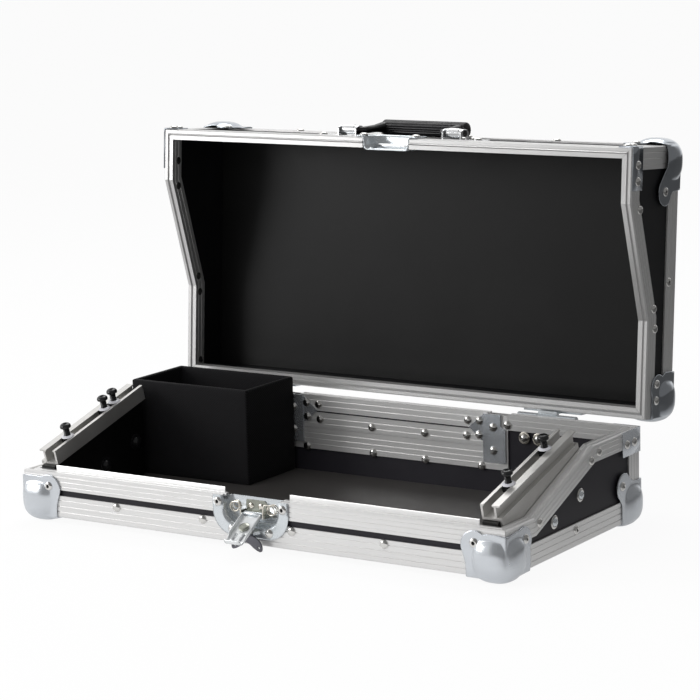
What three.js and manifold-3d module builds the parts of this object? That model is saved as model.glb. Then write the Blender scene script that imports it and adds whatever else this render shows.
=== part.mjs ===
// Wedge-fronted lighting controller case: a rack-width flight case with its lid standing open.
// Millimetres. x runs to the right, y from the front face to the rear, z up from the bottom edges.
import * as THREE from 'three';
import { mergeVertices } from 'three/addons/utils/BufferGeometryUtils.js';
import Module from 'manifold-3d';

const wasm = await Module();
wasm.setup();

// The case as a whole
const CASE_WIDTH = 512;
const CASE_DEPTH = 247;
const FRONT_HEIGHT = 42;
const REAR_HEIGHT = 83.4;
const LID_REAR_HEIGHT = 54.1;
const FRONT_RUN = 50;
const REAR_RUN = 89.6;
const LID_OPEN_DEGREES = 94.4;

// Boards and clearances
const PANEL = 6.5;
const FIT = 0.3;
const OVERRUN = 20;
const WELD_DISTANCE = 0.0001;
const OUTLINE_STEP = 0.2;

// Aluminium edging: plain corner angle and the closing profile of the two rims
const EDGE_WALL = 1.5;
const EDGE_LEG = 20.5;
const EDGE_CHAMFER = 0.9;
const EDGE_GROOVE_SHARES = [0.22, 0.5, 0.78];
const GROOVE_WIDTH = 0.9;
const GROOVE_DEPTH = 0.45;
const RIM_HEAD = 3.2;
const RIM_OUTER_LEG = 16;
const RIM_INNER_LEG = 14.6;
const RIM_CHAMFER = 1.2;
const RIM_GROOVE_SHARES = [0.8, 0.52, 0.24];
const RIM_INSIDE_GROOVE_SHARES = [0.66, 0.3];
const SEAM_GROOVE_WIDTH = 3.4;
const SEAM_GROOVE_DEPTH = 2.1;
const TONGUE_WIDTH = 2.2;
const TONGUE_HEIGHT = 1.4;

// Pressed ball corners
const CORNER_STEEL = 1.2;
const CORNER_LEG_ACROSS = 41;
const CORNER_LEG_DEEP = 40;
const CORNER_LEG_HIGH = 37.5;
const CORNER_LOBE_ACROSS = 30.5;
const CORNER_LOBE_DEEP = 29;
const CORNER_LOBE_HIGH = 26;
const CORNER_LOBE_RADIUS = 13.4;
const BALL_RADIUS = 20.8;
const BALL_CENTRE = 13.5;
const BALL_SQUARENESS = 2.4;
const BALL_FACETS = 7;
const BALL_TIP_TRIM = 1.2;
const CORNER_CUT = 5.2;
const CORNER_CUT_FIT = 0.6;

// Rack rails, the boards that carry them and the rack screws
const RAIL_INSET = 29.6;
const RAIL_FRONT_Y = 10;
const RAIL_FRONT_RISE = 17.6;
const RAIL_REAR_RISE = 14;
const RAIL_BOX_GAP = 8.4;
const RAIL_WALL = 2;
const RAIL_LIP = 1.6;
const RAIL_CHANNEL = 14.7;
const RAIL_DEPTH = 14.4;
const RAIL_INNER_LIP = 3.2;
const RAIL_SLOT_END = 11.1;
const RAIL_TOP_WIDTH = 18.4;
const RAIL_FULL_WIDTH = 19.1;
const RAIL_LEDGE_DROP = 11.5;
const RAIL_WEB_DROP = 30;
const RAIL_BOARD = 15;
const SCREW_SHANK_RADIUS = 3;
const SCREW_HEAD_RADIUS = 5;
const SCREW_HEAD_HEIGHT = 3.6;
const SCREW_SHOULDER_SHARE = 0.5;
const SCREW_TOP_SHARE = 0.7;
const SCREW_STAND = 9.5;
const WASHER_RADIUS = 5.5;
const WASHER_HEIGHT = 1.6;
const WASHER_TOP_SHARE = 0.72;
const NUT_WIDTH = 9.6;
const NUT_HEIGHT = 4;
const LEFT_SCREW_SHARES = [0.208, 0.627, 0.736];
const RIGHT_SCREW_SHARES = [0.269, 0.739];

// Cable flap in the rear wall, its frame and the stop plates
const FLAP_SIDE_MARGIN = 151.4;
const FLAP_FLOOR = 51.2;
const FLAP_LEG = 15.2;
const HATCH_LEG = 21;
const HATCH_GROOVE_SHARES = [0.25, 0.5, 0.75];
const FLAP_HINGE_OFFSET = 3.4;
const FLAP_KNUCKLE_RADIUS = 2.6;
const FLAP_PIN_RADIUS = 1.2;
const FLAP_HINGE_SHARE = 0.574;
const FLAP_KNUCKLE_SHARE = 0.287;
const STOP_PLATE = 1.5;
const STOP_PLATE_LAP = 4.2;
const STOP_PLATE_WIDTH = 23.6;
const STOP_PLATE_NECK = 18.6;
const STOP_PLATE_DROP = 14.4;
const STOP_PLATE_SHOULDER = 13.4;
const STOP_PLATE_TOP_GAP = 0.6;

// Lid hinges
const HINGE_SIDE_INSET = 98;
const HINGE_HALF = 30;
const HINGE_KNUCKLE_HALF = 10;
const HINGE_OFFSET = 7.3;
const HINGE_DROP = 4.1;
const HINGE_KNUCKLE_RADIUS = 4.5;
const HINGE_PIN_RADIUS = 2.2;
const HINGE_PLATE = 2;
const HINGE_BASE_REACH = 31;
const HINGE_LID_START = 9.4;
const HINGE_LID_REACH = 38;

// Fabric-lined box in the left rear corner
const BOX_WIDTH = 135.6;
const BOX_DEPTH = 80.6;
const BOX_HEIGHT = 91.8;
const BOX_WALL = 5;

// Recessed latch in the front wall
const DISH_STEEL = 1.2;
const DISH_HALF_WIDTH = 40;
const DISH_FLOOR = 6.4;
const DISH_RADIUS = 22;
const POCKET_HALF_WIDTH = 29;
const POCKET_FLOOR = 16.5;
const POCKET_RADIUS = 15;
const POCKET_DEPTH = 11;
const ROLLER_Y = 4;
const ROLLER_Z = 26.4;
const ROLLER_RADIUS = 2.4;
const ROLLER_HALF = 10;
const ROLLER_PIN_HALF = 12.4;
const ROLLER_PIN_RADIUS = 1.2;
const ARM_LENGTH = 37.4;
const ARM_HALF_WIDTH = 9;
const ARM_STEEL = 1.2;
const ARM_CHEEK = 3.4;
const ARM_DROOP_DEGREES = 31.8;
const HOOK_LIP = 5;
const HUB_PLACE = 17.3;
const HUB_RADIUS = 4.2;
const HUB_STAND = 4.4;
const HUB_BACK = 1.8;
const ARM_START_SHARE = 0.6;
const AXLE_REACH_SHARE = 1.4;
const WING_STEEL = 1.5;
const WING_DROP = 15;
const WING_HALF_WIDTH = 18.5;
const WING_AXLE_RADIUS = 1.6;
const WING_EAR_HOLE = 1.1;
const WING_OUTLINE_SHARES = [[0.8, 0.45], [1, 0.72], [0.92, 1], [0.45, 0.92], [0, 0.6]];
const WING_HOLE_SHARES = [0.78, 0.76];
const SPRING_WIRE = 1.1;
const SPRING_RADIUS = 4.1;
const SPRING_PITCH = 1.9;
const SPRING_TURNS = 2.25;
const SPRING_CENTRE_X = 19.5;
const SPRING_CENTRE_Z = 32;
const SPRING_LEG_X = 14.2;
const SPRING_SIDES = 5;
const SPRING_STEPS_A_TURN = 8;

// Keeper in the lid and the carrying handle
const KEEPER_HALF_WIDTH = 33;
const KEEPER_RISE = 32;
const KEEPER_RADIUS = 16;
const KEEPER_POCKET_HALF = 24;
const KEEPER_POCKET_RISE = 25.5;
const KEEPER_POCKET_RADIUS = 10;
const STRIKE_RADIUS = 1.8;
const STRIKE_RISE = 17.4;
const STRIKE_Y = 8.2;
const HANDLE_HALF_SPAN = 57.5;
const HANDLE_PIVOT_RISE = 30;
const HANDLE_REACH = 38;
const HANDLE_GRIP_HALF = 46.5;
const HANDLE_GRIP_RADIUS = 7.6;
const HANDLE_GRIP_RIBS = 14;
const HANDLE_GRIP_RIB_DEPTH = 0.7;
const HANDLE_GRIP_END_SHARES = [[1, 0.62], [0.975, 0.88], [0.93, 1]];
const HANDLE_ROD_RADIUS = 3;
const HANDLE_BEND = 4.8;
const HANDLE_BEND_SHARE = 0.7;
const HANDLE_BORE_GAP = 0.4;
const HANDLE_PIVOT_STAND = 6.8;
const HANDLE_GRIP_STAND = 8.6;
const BRACKET_STEEL = 1.6;
const BRACKET_HALF_WIDTH = 10.5;
const BRACKET_DEPTH = 15;
const BRACKET_HEIGHT = 11;
const BRACKET_FOOT_LENGTH = 44;
const BRACKET_FOOT_DEPTH = 22;

// Sizes that follow from those above
const HALF_WIDTH = CASE_WIDTH / 2;
const CLOSED_HEIGHT = REAR_HEIGHT + LID_REAR_HEIGHT;
const SKIN = EDGE_WALL + FIT;
const INNER = SKIN + PANEL;
const RIM_THICKNESS = INNER + FIT + EDGE_WALL;
const BOX_REAR_Y = CASE_DEPTH - RIM_THICKNESS - FIT - STOP_PLATE - FIT;
const RAIL_INNER_X = HALF_WIDTH - RAIL_INSET;
const RAIL_FRONT_Z = FRONT_HEIGHT + RAIL_FRONT_RISE;
const RAIL_REAR_Y = BOX_REAR_Y - BOX_DEPTH - RAIL_BOX_GAP;
const RAIL_REAR_Z = REAR_HEIGHT + RAIL_REAR_RISE;
const FLAP_HALF_WIDTH = HALF_WIDTH - FLAP_SIDE_MARGIN;
const FLAP_HINGE_HALF = FLAP_HALF_WIDTH * FLAP_HINGE_SHARE;
const FLAP_KNUCKLE_HALF = FLAP_HALF_WIDTH * FLAP_KNUCKLE_SHARE;
const HINGE_CENTRE_X = HALF_WIDTH - HINGE_SIDE_INSET;
const KEEPER_TOP = FRONT_HEIGHT + KEEPER_RISE;
const KEEPER_POCKET_TOP = FRONT_HEIGHT + KEEPER_POCKET_RISE;
const STRIKE_Z = FRONT_HEIGHT + STRIKE_RISE;
const HANDLE_PIVOT_Z = FRONT_HEIGHT + HANDLE_PIVOT_RISE;
const SLANT_ANGLE = Math.atan2(REAR_HEIGHT - FRONT_HEIGHT, CASE_DEPTH - FRONT_RUN - REAR_RUN);
const RAIL_ANGLE = Math.atan2(RAIL_REAR_Z - RAIL_FRONT_Z, RAIL_REAR_Y - RAIL_FRONT_Y);
const RAIL_LENGTH = Math.hypot(RAIL_REAR_Z - RAIL_FRONT_Z, RAIL_REAR_Y - RAIL_FRONT_Y);
const HINGE_Y = CASE_DEPTH + HINGE_OFFSET;
const HINGE_Z = REAR_HEIGHT - HINGE_DROP;
const SIDES = [['left', -1], ['right', 1]];

const X_AXIS = new THREE.Vector3(1, 0, 0);
const Y_AXIS = new THREE.Vector3(0, 1, 0);
const Z_AXIS = new THREE.Vector3(0, 0, 1);

// Finishes
const finish = (color, roughness, metalness) => (
  new THREE.MeshStandardMaterial({ color, roughness, metalness })
);
const laminate = () => finish(0x26242a, 0.55, 0);
const extrusion = () => finish(0xc9cacb, 0.42, 0.9);
const zincPlate = () => finish(0xb9c0c6, 0.36, 0.95);
const chrome = () => finish(0xd8dadc, 0.18, 1);
const darkSteel = () => finish(0x50535a, 0.45, 0.9);
const springWire = () => finish(0xc0ab84, 0.35, 0.9);
const blackScrew = () => finish(0x131316, 0.35, 0.5);
const blackRubber = () => finish(0x17171a, 0.5, 0);
const liningFabric = () => finish(0x161618, 0.95, 0);

const positions = (points) => new THREE.Float32BufferAttribute(points.flatMap((p) => [p.x, p.y, p.z]), 3);

// A closed mesh from points and triangles, turned inside out if its volume comes out negative
function closedGeometry(points, faces) {
  let volume = 0;
  for (const [a, b, c] of faces) {
    volume += points[a].dot(points[b].clone().cross(points[c]));
  }
  const geometry = new THREE.BufferGeometry();
  geometry.setAttribute('position', positions(points));
  geometry.setIndex(faces.flatMap(([a, b, c]) => (volume < 0 ? [a, c, b] : [a, b, c])));
  return geometry;
}

// A section carried through stations; a station holds its origin and the two directions of the section
function sweep(section, stations, closed = false) {
  const outline = section.map(([a, b]) => new THREE.Vector2(a, b));
  if (THREE.ShapeUtils.area(outline) < 0) outline.reverse();
  const count = outline.length;
  const points = [];
  for (const { origin, u, v } of stations) {
    for (const corner of outline) {
      points.push(origin.clone().addScaledVector(u, corner.x).addScaledVector(v, corner.y));
    }
  }
  const faces = [];
  const spans = closed ? stations.length : stations.length - 1;
  for (let ring = 0; ring < spans; ring += 1) {
    const here = ring * count;
    const next = ((ring + 1) % stations.length) * count;
    for (let k = 0; k < count; k += 1) {
      const m = (k + 1) % count;
      faces.push([here + k, here + m, next + m], [here + k, next + m, next + k]);
    }
  }
  if (!closed) {
    const last = (stations.length - 1) * count;
    for (const triangle of THREE.ShapeUtils.triangulateShape(outline, [])) {
      const [a, b, c] = counterClockwise(outline, triangle);
      faces.push([c, b, a], [last + a, last + b, last + c]);
    }
  }
  return closedGeometry(points, faces);
}

function counterClockwise(outline, [a, b, c]) {
  const area = THREE.ShapeUtils.area([outline[a], outline[b], outline[c]]);
  return area < 0 ? [a, c, b] : [a, b, c];
}

const station = (origin, u, v) => ({ origin, u, v });
const vec = (x, y, z) => new THREE.Vector3(x, y, z);

// A straight block between two corners
function block(low, high) {
  const [x0, y0, z0] = low;
  const [x1, y1, z1] = high;
  const section = [[x0, y0], [x1, y0], [x1, y1], [x0, y1]];
  return sweep(section, [station(vec(0, 0, z0), X_AXIS, Y_AXIS), station(vec(0, 0, z1), X_AXIS, Y_AXIS)]);
}

// A flat outline given in y and z, thick along x
function plateInX(outline, x0, x1) {
  return sweep(outline, [station(vec(x0, 0, 0), Y_AXIS, Z_AXIS), station(vec(x1, 0, 0), Y_AXIS, Z_AXIS)]);
}

// A flat outline given in x and z, thick along y
function plateInY(outline, y0, y1) {
  return sweep(outline, [station(vec(0, y0, 0), X_AXIS, Z_AXIS), station(vec(0, y1, 0), X_AXIS, Z_AXIS)]);
}

// A round bar along x
function barInX(radius, x0, x1, y, z, sides = 16) {
  const circle = circleOutline(radius, sides).map(([a, b]) => [a + y, b + z]);
  return plateInX(circle, x0, x1);
}

function circleOutline(radius, sides) {
  const outline = [];
  for (let k = 0; k < sides; k += 1) {
    const angle = (2 * Math.PI * (k + 0.5)) / sides;
    outline.push([radius * Math.cos(angle), radius * Math.sin(angle)]);
  }
  return outline;
}

// Points of a THREE.Shape as pairs
const shapeOutline = (shape, divisions) => {
  const points = shape.getPoints(divisions).map((p) => [p.x, p.y]);
  const [first, last] = [points[0], points[points.length - 1]];
  if (Math.hypot(first[0] - last[0], first[1] - last[1]) < OUTLINE_STEP) points.pop();
  return points;
};

// Boolean joins and cuts
function solid(geometry) {
  const bare = geometry.clone();
  bare.deleteAttribute('normal');
  bare.deleteAttribute('uv');
  const merged = mergeVertices(bare, WELD_DISTANCE);
  const vertProperties = new Float32Array(merged.attributes.position.array);
  const triVerts = new Uint32Array(merged.index.array);
  return new wasm.Manifold(new wasm.Mesh({ numProp: 3, vertProperties, triVerts }));
}

function geometryOf(manifold) {
  const mesh = manifold.getMesh();
  const geometry = new THREE.BufferGeometry();
  geometry.setAttribute('position', new THREE.BufferAttribute(new Float32Array(mesh.vertProperties), 3));
  geometry.setIndex(Array.from(mesh.triVerts));
  return geometry;
}

const join = (...geometries) => geometryOf(geometries.map(solid).reduce((whole, piece) => whole.add(piece)));
const cut = (geometry, ...tools) => geometryOf(
  tools.map(solid).reduce((whole, tool) => whole.subtract(tool), solid(geometry)),
);

function addPiece(group, name, geometry, material) {
  const mesh = new THREE.Mesh(geometry, material);
  mesh.name = name;
  group.add(mesh);
  return mesh;
}

// Seam line between base and lid in the y-z plane, moved square to itself by a distance
function seamLine(distance) {
  const slope = Math.tan(SLANT_ANGLE / 2) * distance;
  return [
    [0, FRONT_HEIGHT + distance],
    [FRONT_RUN - slope, FRONT_HEIGHT + distance],
    [CASE_DEPTH - REAR_RUN - slope, REAR_HEIGHT + distance],
    [CASE_DEPTH, REAR_HEIGHT + distance],
  ];
}

// The same line from y0 to y1 only
function seamLineBetween(distance, y0, y1) {
  const line = seamLine(distance);
  return [[y0, line[0][1]], line[1], line[2], [y1, line[3][1]]];
}

// V grooves at places along a face that lies at a level, three points to a groove
const grooved = (places, level, depth) => places.flatMap((place) => [
  [place - GROOVE_WIDTH / 2, level], [place, level + depth], [place + GROOVE_WIDTH / 2, level],
]);

// Corner edging: first number runs in along one face, second in along the other
function edgingSection() {
  const run = EDGE_LEG - EDGE_CHAMFER;
  const along = grooved(EDGE_GROOVE_SHARES.map((share) => EDGE_CHAMFER + run * share), 0, GROOVE_DEPTH);
  const up = along.map(([a, b]) => [b, a]).reverse();
  return [
    [EDGE_CHAMFER, 0], ...along, [EDGE_LEG, 0], [EDGE_LEG, EDGE_WALL], [EDGE_WALL, EDGE_WALL],
    [EDGE_WALL, EDGE_LEG], [0, EDGE_LEG], ...up, [0, EDGE_CHAMFER],
  ];
}

// Closing profile: first number runs up towards the seam, second in from the outer face
function rimSection(seamShape, outerLeg, innerLeg) {
  const outside = grooved(RIM_GROOVE_SHARES.map((share) => -outerLeg * share), 0, GROOVE_DEPTH);
  const insidePlaces = RIM_INSIDE_GROOVE_SHARES.map((share) => -innerLeg * share);
  const inside = grooved(insidePlaces, RIM_THICKNESS, -GROOVE_DEPTH).reverse();
  return [
    [-outerLeg, 0], ...outside, [-RIM_CHAMFER, 0], [0, RIM_CHAMFER],
    ...seamShape, [0, RIM_THICKNESS], ...inside,
    [-innerLeg, RIM_THICKNESS], [-innerLeg, RIM_THICKNESS - EDGE_WALL],
    [-RIM_HEAD, RIM_THICKNESS - EDGE_WALL], [-RIM_HEAD, EDGE_WALL], [-outerLeg, EDGE_WALL],
  ];
}

const seamMiddle = RIM_THICKNESS / 2;
const grooveShape = [
  [0, seamMiddle - SEAM_GROOVE_WIDTH / 2],
  [-SEAM_GROOVE_DEPTH, seamMiddle],
  [0, seamMiddle + SEAM_GROOVE_WIDTH / 2],
];
const tongueShape = [
  [0, seamMiddle - TONGUE_WIDTH / 2],
  [TONGUE_HEIGHT, seamMiddle],
  [0, seamMiddle + TONGUE_WIDTH / 2],
];

// Edging round a rectangle, with upright angles; its vertices are nipped off for the ball corners
function edgeFrame(z, up, uprights) {
  const corners = [[-1, 0], [1, 0], [1, 1], [-1, 1]];
  const ring = corners.map(([side, rear]) => station(
    vec(side * HALF_WIDTH, rear * CASE_DEPTH, z), vec(-side, 1 - 2 * rear, 0), vec(0, 0, up),
  ));
  const pieces = [sweep(edgingSection(), ring, true)];
  for (const { side, rear, height } of uprights) {
    const origin = (level) => vec(side * HALF_WIDTH, rear * CASE_DEPTH, level);
    const u = vec(-side, 0, 0);
    const v = vec(0, 1 - 2 * rear, 0);
    const start = z + up * (EDGE_LEG - EDGE_WALL);
    pieces.push(sweep(edgingSection(), [station(origin(start), u, v), station(origin(height), u, v)]));
  }
  const nips = corners.map(([side, rear]) => cornerTetra(side, rear, z, up, CORNER_CUT));
  return cut(join(...pieces), ...nips);
}

// A wedge that takes off one vertex of the case; its cut face lies at an even depth on the three edges
function cornerTetra(side, rear, z, up, depth) {
  const tip = vec(side * HALF_WIDTH, rear * CASE_DEPTH, z);
  const inward = [vec(-side, 0, 0), vec(0, 1 - 2 * rear, 0), vec(0, 0, up)];
  const origin = tip.clone();
  for (const direction of inward) origin.addScaledVector(direction, -OVERRUN);
  const reach = depth + 3 * OVERRUN;
  const points = [origin, ...inward.map((direction) => origin.clone().addScaledVector(direction, reach))];
  return closedGeometry(points, [[0, 2, 1], [0, 1, 3], [0, 3, 2], [1, 2, 3]]);
}

// Straight rim length along x with mitred or square ends, at height z; up is +1 on the base
function rimAlongX(section, z, up, rear, from, to) {
  const inward = vec(0, 1 - 2 * rear, 0);
  const end = ({ x, mitre }) => station(
    vec(x, rear * CASE_DEPTH, z), vec(0, 0, up), inward.clone().addScaledVector(X_AXIS, mitre),
  );
  return sweep(section, [end(from), end(to)]);
}

const leftMitre = { x: -HALF_WIDTH + FIT, mitre: 1 };
const rightMitre = { x: HALF_WIDTH - FIT, mitre: -1 };

// Side rim in three mitred lengths along the seam line
function sideRim(section, side, line, up) {
  const inward = vec(-side, 0, 0);
  const bend = vec(0, -Math.tan(SLANT_ANGLE / 2), 1).multiplyScalar(up);
  const level = vec(0, 0, up);
  return sweep(section, [
    station(vec(side * HALF_WIDTH, line[0][0], line[0][1]), level, inward.clone().add(Y_AXIS)),
    station(vec(side * HALF_WIDTH, line[1][0], line[1][1]), bend, inward),
    station(vec(side * HALF_WIDTH, line[2][0], line[2][1]), bend, inward),
    station(vec(side * HALF_WIDTH, line[3][0], line[3][1]), level, inward.clone().sub(Y_AXIS)),
  ]);
}

// One pressed corner: three lobed plates and a squarish ball, hollowed by the case's own corner
function ballCorner(side, rear, z, up) {
  const tip = vec(side * HALF_WIDTH, rear * CASE_DEPTH, z);
  const axes = [vec(-side, 0, 0), vec(0, 1 - 2 * rear, 0), vec(0, 0, up)];
  const outside = -(FIT + CORNER_STEEL);
  const legs = [CORNER_LEG_ACROSS, CORNER_LEG_DEEP, CORNER_LEG_HIGH];
  const lobes = [CORNER_LOBE_ACROSS, CORNER_LOBE_DEEP, CORNER_LOBE_HIGH];
  const plates = [0, 1, 2].map((k) => {
    const [m, n] = [(k + 1) % 3, (k + 2) % 3];
    const outline = lobedOutline(outside, [legs[m], legs[n]], [lobes[m], lobes[n]]);
    const at = (depth) => tip.clone().addScaledVector(axes[k], depth);
    return sweep(outline, [station(at(outside), axes[m], axes[n]), station(at(-FIT), axes[m], axes[n])]);
  });
  const corner = join(ballSolid(tip, axes), ...plates);
  return cut(corner, cornerHollow(tip, axes), cornerTetra(side, rear, z, up, BALL_TIP_TRIM));
}

function lobedOutline(start, [legU, legV], [lobeU, lobeV]) {
  const shape = new THREE.Shape();
  shape.moveTo(start, start);
  shape.lineTo(legU, start);
  shape.lineTo(legU, lobeV / 2);
  shape.absarc(lobeU, lobeV, CORNER_LOBE_RADIUS, -Math.PI / 4, Math.PI * 0.75, false);
  shape.lineTo(lobeU / 2, legV);
  shape.lineTo(start, legV);
  return shapeOutline(shape, 6);
}

// Round form whose distance from its middle follows a power law between a ball and a cube
function ballSolid(tip, axes) {
  const geometry = new THREE.BoxGeometry(1, 1, 1, BALL_FACETS, BALL_FACETS, BALL_FACETS);
  const position = geometry.attributes.position;
  const middle = tip.clone();
  for (const axis of axes) middle.addScaledVector(axis, BALL_CENTRE);
  const points = [];
  for (let k = 0; k < position.count; k += 1) {
    const direction = new THREE.Vector3().fromBufferAttribute(position, k).normalize();
    const power = [direction.x, direction.y, direction.z].reduce(
      (sum, part) => sum + Math.abs(part) ** BALL_SQUARENESS, 0,
    );
    points.push(direction.multiplyScalar(BALL_RADIUS / power ** (1 / BALL_SQUARENESS)).add(middle));
  }
  const moved = new THREE.BufferGeometry();
  moved.setAttribute('position', positions(points));
  moved.setIndex(geometry.index);
  return moved;
}

// The case corner as the pressed piece sees it: an octant with its vertex nipped off
function cornerHollow(tip, axes) {
  const reach = CORNER_LEG_ACROSS * 2;
  const [ax, ay, az] = axes;
  const at = (a, b, c) => tip.clone().addScaledVector(ax, a).addScaledVector(ay, b).addScaledVector(az, c);
  const nip = CORNER_CUT - CORNER_CUT_FIT;
  const low = -FIT;
  const points = [
    at(nip - 2 * low, low, low), at(low, nip - 2 * low, low), at(low, low, nip - 2 * low),
    at(reach, low, low), at(reach, reach, low), at(low, reach, low),
    at(reach, low, reach), at(reach, reach, reach), at(low, reach, reach), at(low, low, reach),
  ];
  const faces = [
    [0, 1, 2], [0, 4, 3], [0, 5, 4], [0, 1, 5].reverse(), [0, 3, 6], [0, 6, 9], [0, 9, 2],
    [1, 2, 9], [1, 9, 8], [1, 8, 5], [3, 4, 7], [3, 7, 6], [4, 5, 8], [4, 8, 7], [6, 7, 8], [6, 8, 9],
  ];
  return closedGeometry(points, orientFaces(points, faces));
}

// Faces of a convex-like body turned so that all point away from its middle
function orientFaces(points, faces) {
  const middle = points.reduce((sum, p) => sum.add(p), vec(0, 0, 0)).multiplyScalar(1 / points.length);
  return faces.map(([a, b, c]) => {
    const normal = points[b].clone().sub(points[a]).cross(points[c].clone().sub(points[a]));
    return normal.dot(points[a].clone().sub(middle)) < 0 ? [a, c, b] : [a, b, c];
  });
}

// Outline with straight sides, an open top edge and two round bottom corners; up = -1 turns it over
function dishOutline(halfWidth, floor, top, radius) {
  const shape = new THREE.Shape();
  const flip = top > floor ? 1 : -1;
  shape.moveTo(-halfWidth, top);
  shape.lineTo(-halfWidth, floor + flip * radius);
  const middle = floor + flip * radius;
  const round = flip * radius;
  shape.absellipse(-halfWidth + radius, middle, radius, round, Math.PI, Math.PI * 1.5, false);
  shape.absellipse(halfWidth - radius, middle, radius, round, Math.PI * 1.5, 0, false);
  shape.lineTo(halfWidth, top);
  return shapeOutline(shape, 6);
}

// What the latch dish needs cut out of the front wall and its edging
function dishOpening() {
  const clear = DISH_STEEL + FIT;
  const outline = dishOutline(
    POCKET_HALF_WIDTH + clear, POCKET_FLOOR - clear, FRONT_HEIGHT + OVERRUN, POCKET_RADIUS + clear,
  );
  return plateInY(outline, -OVERRUN, OVERRUN);
}

// Base
const baseGroup = new THREE.Group();

function buildBasePanels() {
  const wallTop = -(RIM_HEAD + FIT);
  const crossHalf = HALF_WIDTH - INNER - FIT;
  const frontTop = FRONT_HEIGHT + wallTop;
  const rearTop = REAR_HEIGHT + wallTop;
  const front = block([-crossHalf, SKIN, SKIN], [crossHalf, INNER, frontTop]);
  addPiece(baseGroup, 'base_front_panel', cut(front, dishOpening()), laminate());
  const notchHalf = FLAP_HALF_WIDTH + FIT + EDGE_WALL + FIT;
  const notchFloor = FLAP_FLOOR - EDGE_WALL - FIT;
  const notch = block([-notchHalf, 0, notchFloor], [notchHalf, CASE_DEPTH + OVERRUN, REAR_HEIGHT + OVERRUN]);
  const rear = block([-crossHalf, CASE_DEPTH - INNER, SKIN], [crossHalf, CASE_DEPTH - SKIN, rearTop]);
  addPiece(baseGroup, 'base_rear_panel', cut(rear, notch), laminate());
  const floor = block([-crossHalf, INNER + FIT, SKIN], [crossHalf, CASE_DEPTH - INNER - FIT, INNER]);
  addPiece(baseGroup, 'base_floor_panel', floor, laminate());
  for (const [label, side] of SIDES) {
    const outline = [
      [SKIN, SKIN], [CASE_DEPTH - SKIN, SKIN],
      ...seamLineBetween(wallTop, SKIN, CASE_DEPTH - SKIN).reverse(),
    ];
    const wall = plateInX(outline, side * (HALF_WIDTH - SKIN), side * (HALF_WIDTH - INNER));
    addPiece(baseGroup, `base_${label}_panel`, wall, laminate());
  }
}

function buildBaseEdging() {
  const height = REAR_HEIGHT - RIM_OUTER_LEG - FIT;
  const uprights = SIDES.map(([, side]) => ({ side, rear: 1, height }));
  addPiece(baseGroup, 'base_edge_frame', cut(edgeFrame(0, 1, uprights), dishOpening()), extrusion());
  const section = rimSection(grooveShape, RIM_OUTER_LEG, RIM_INNER_LEG);
  const dishEdge = POCKET_HALF_WIDTH + DISH_STEEL + FIT;
  const hatchEdge = FLAP_HALF_WIDTH + FIT + HATCH_LEG + FIT;
  const square = (x) => ({ x, mitre: 0 });
  const lengths = [
    ['base_front_rim_left', 0, leftMitre, square(-dishEdge), FRONT_HEIGHT],
    ['base_front_rim_right', 0, square(dishEdge), rightMitre, FRONT_HEIGHT],
    ['base_rear_rim_left', 1, leftMitre, square(-hatchEdge), REAR_HEIGHT],
    ['base_rear_rim_right', 1, square(hatchEdge), rightMitre, REAR_HEIGHT],
  ];
  for (const [name, rear, from, to, z] of lengths) {
    addPiece(baseGroup, name, rimAlongX(section, z, 1, rear, from, to), extrusion());
  }
  for (const [label, side] of SIDES) {
    addPiece(baseGroup, `base_${label}_rim`, sideRim(section, side, seamLine(0), 1), extrusion());
  }
}

function buildCorners(group, prefix, z, up) {
  for (const [label, side] of SIDES) {
    for (const [place, rear] of [['front', 0], ['rear', 1]]) {
      addPiece(group, `${prefix}_ball_corner_${place}_${label}`, ballCorner(side, rear, z, up), zincPlate());
    }
  }
}

// Rail section: first number outward from the inner face, second down from the top
function railSection() {
  const web = RAIL_FULL_WIDTH - RAIL_WALL;
  return [
    [0, 0], [RAIL_INNER_LIP, 0], [RAIL_INNER_LIP, RAIL_LIP], [RAIL_WALL, RAIL_LIP],
    [RAIL_WALL, RAIL_DEPTH - RAIL_WALL], [RAIL_CHANNEL - RAIL_WALL, RAIL_DEPTH - RAIL_WALL],
    [RAIL_CHANNEL - RAIL_WALL, RAIL_LIP], [RAIL_SLOT_END, RAIL_LIP], [RAIL_SLOT_END, 0],
    [RAIL_TOP_WIDTH, 0], [RAIL_TOP_WIDTH, RAIL_LIP], [RAIL_CHANNEL, RAIL_LIP],
    [RAIL_CHANNEL, RAIL_LEDGE_DROP], [RAIL_FULL_WIDTH, RAIL_LEDGE_DROP], [RAIL_FULL_WIDTH, RAIL_WEB_DROP],
    [web, RAIL_WEB_DROP], [web, RAIL_DEPTH], [0, RAIL_DEPTH],
  ];
}

const railAlong = vec(0, Math.cos(RAIL_ANGLE), Math.sin(RAIL_ANGLE));
const railDown = vec(0, Math.sin(RAIL_ANGLE), -Math.cos(RAIL_ANGLE));

function railPoint(side, along, down) {
  return vec(side * RAIL_INNER_X, RAIL_FRONT_Y, RAIL_FRONT_Z)
    .addScaledVector(railAlong, along).addScaledVector(railDown, down);
}

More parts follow.
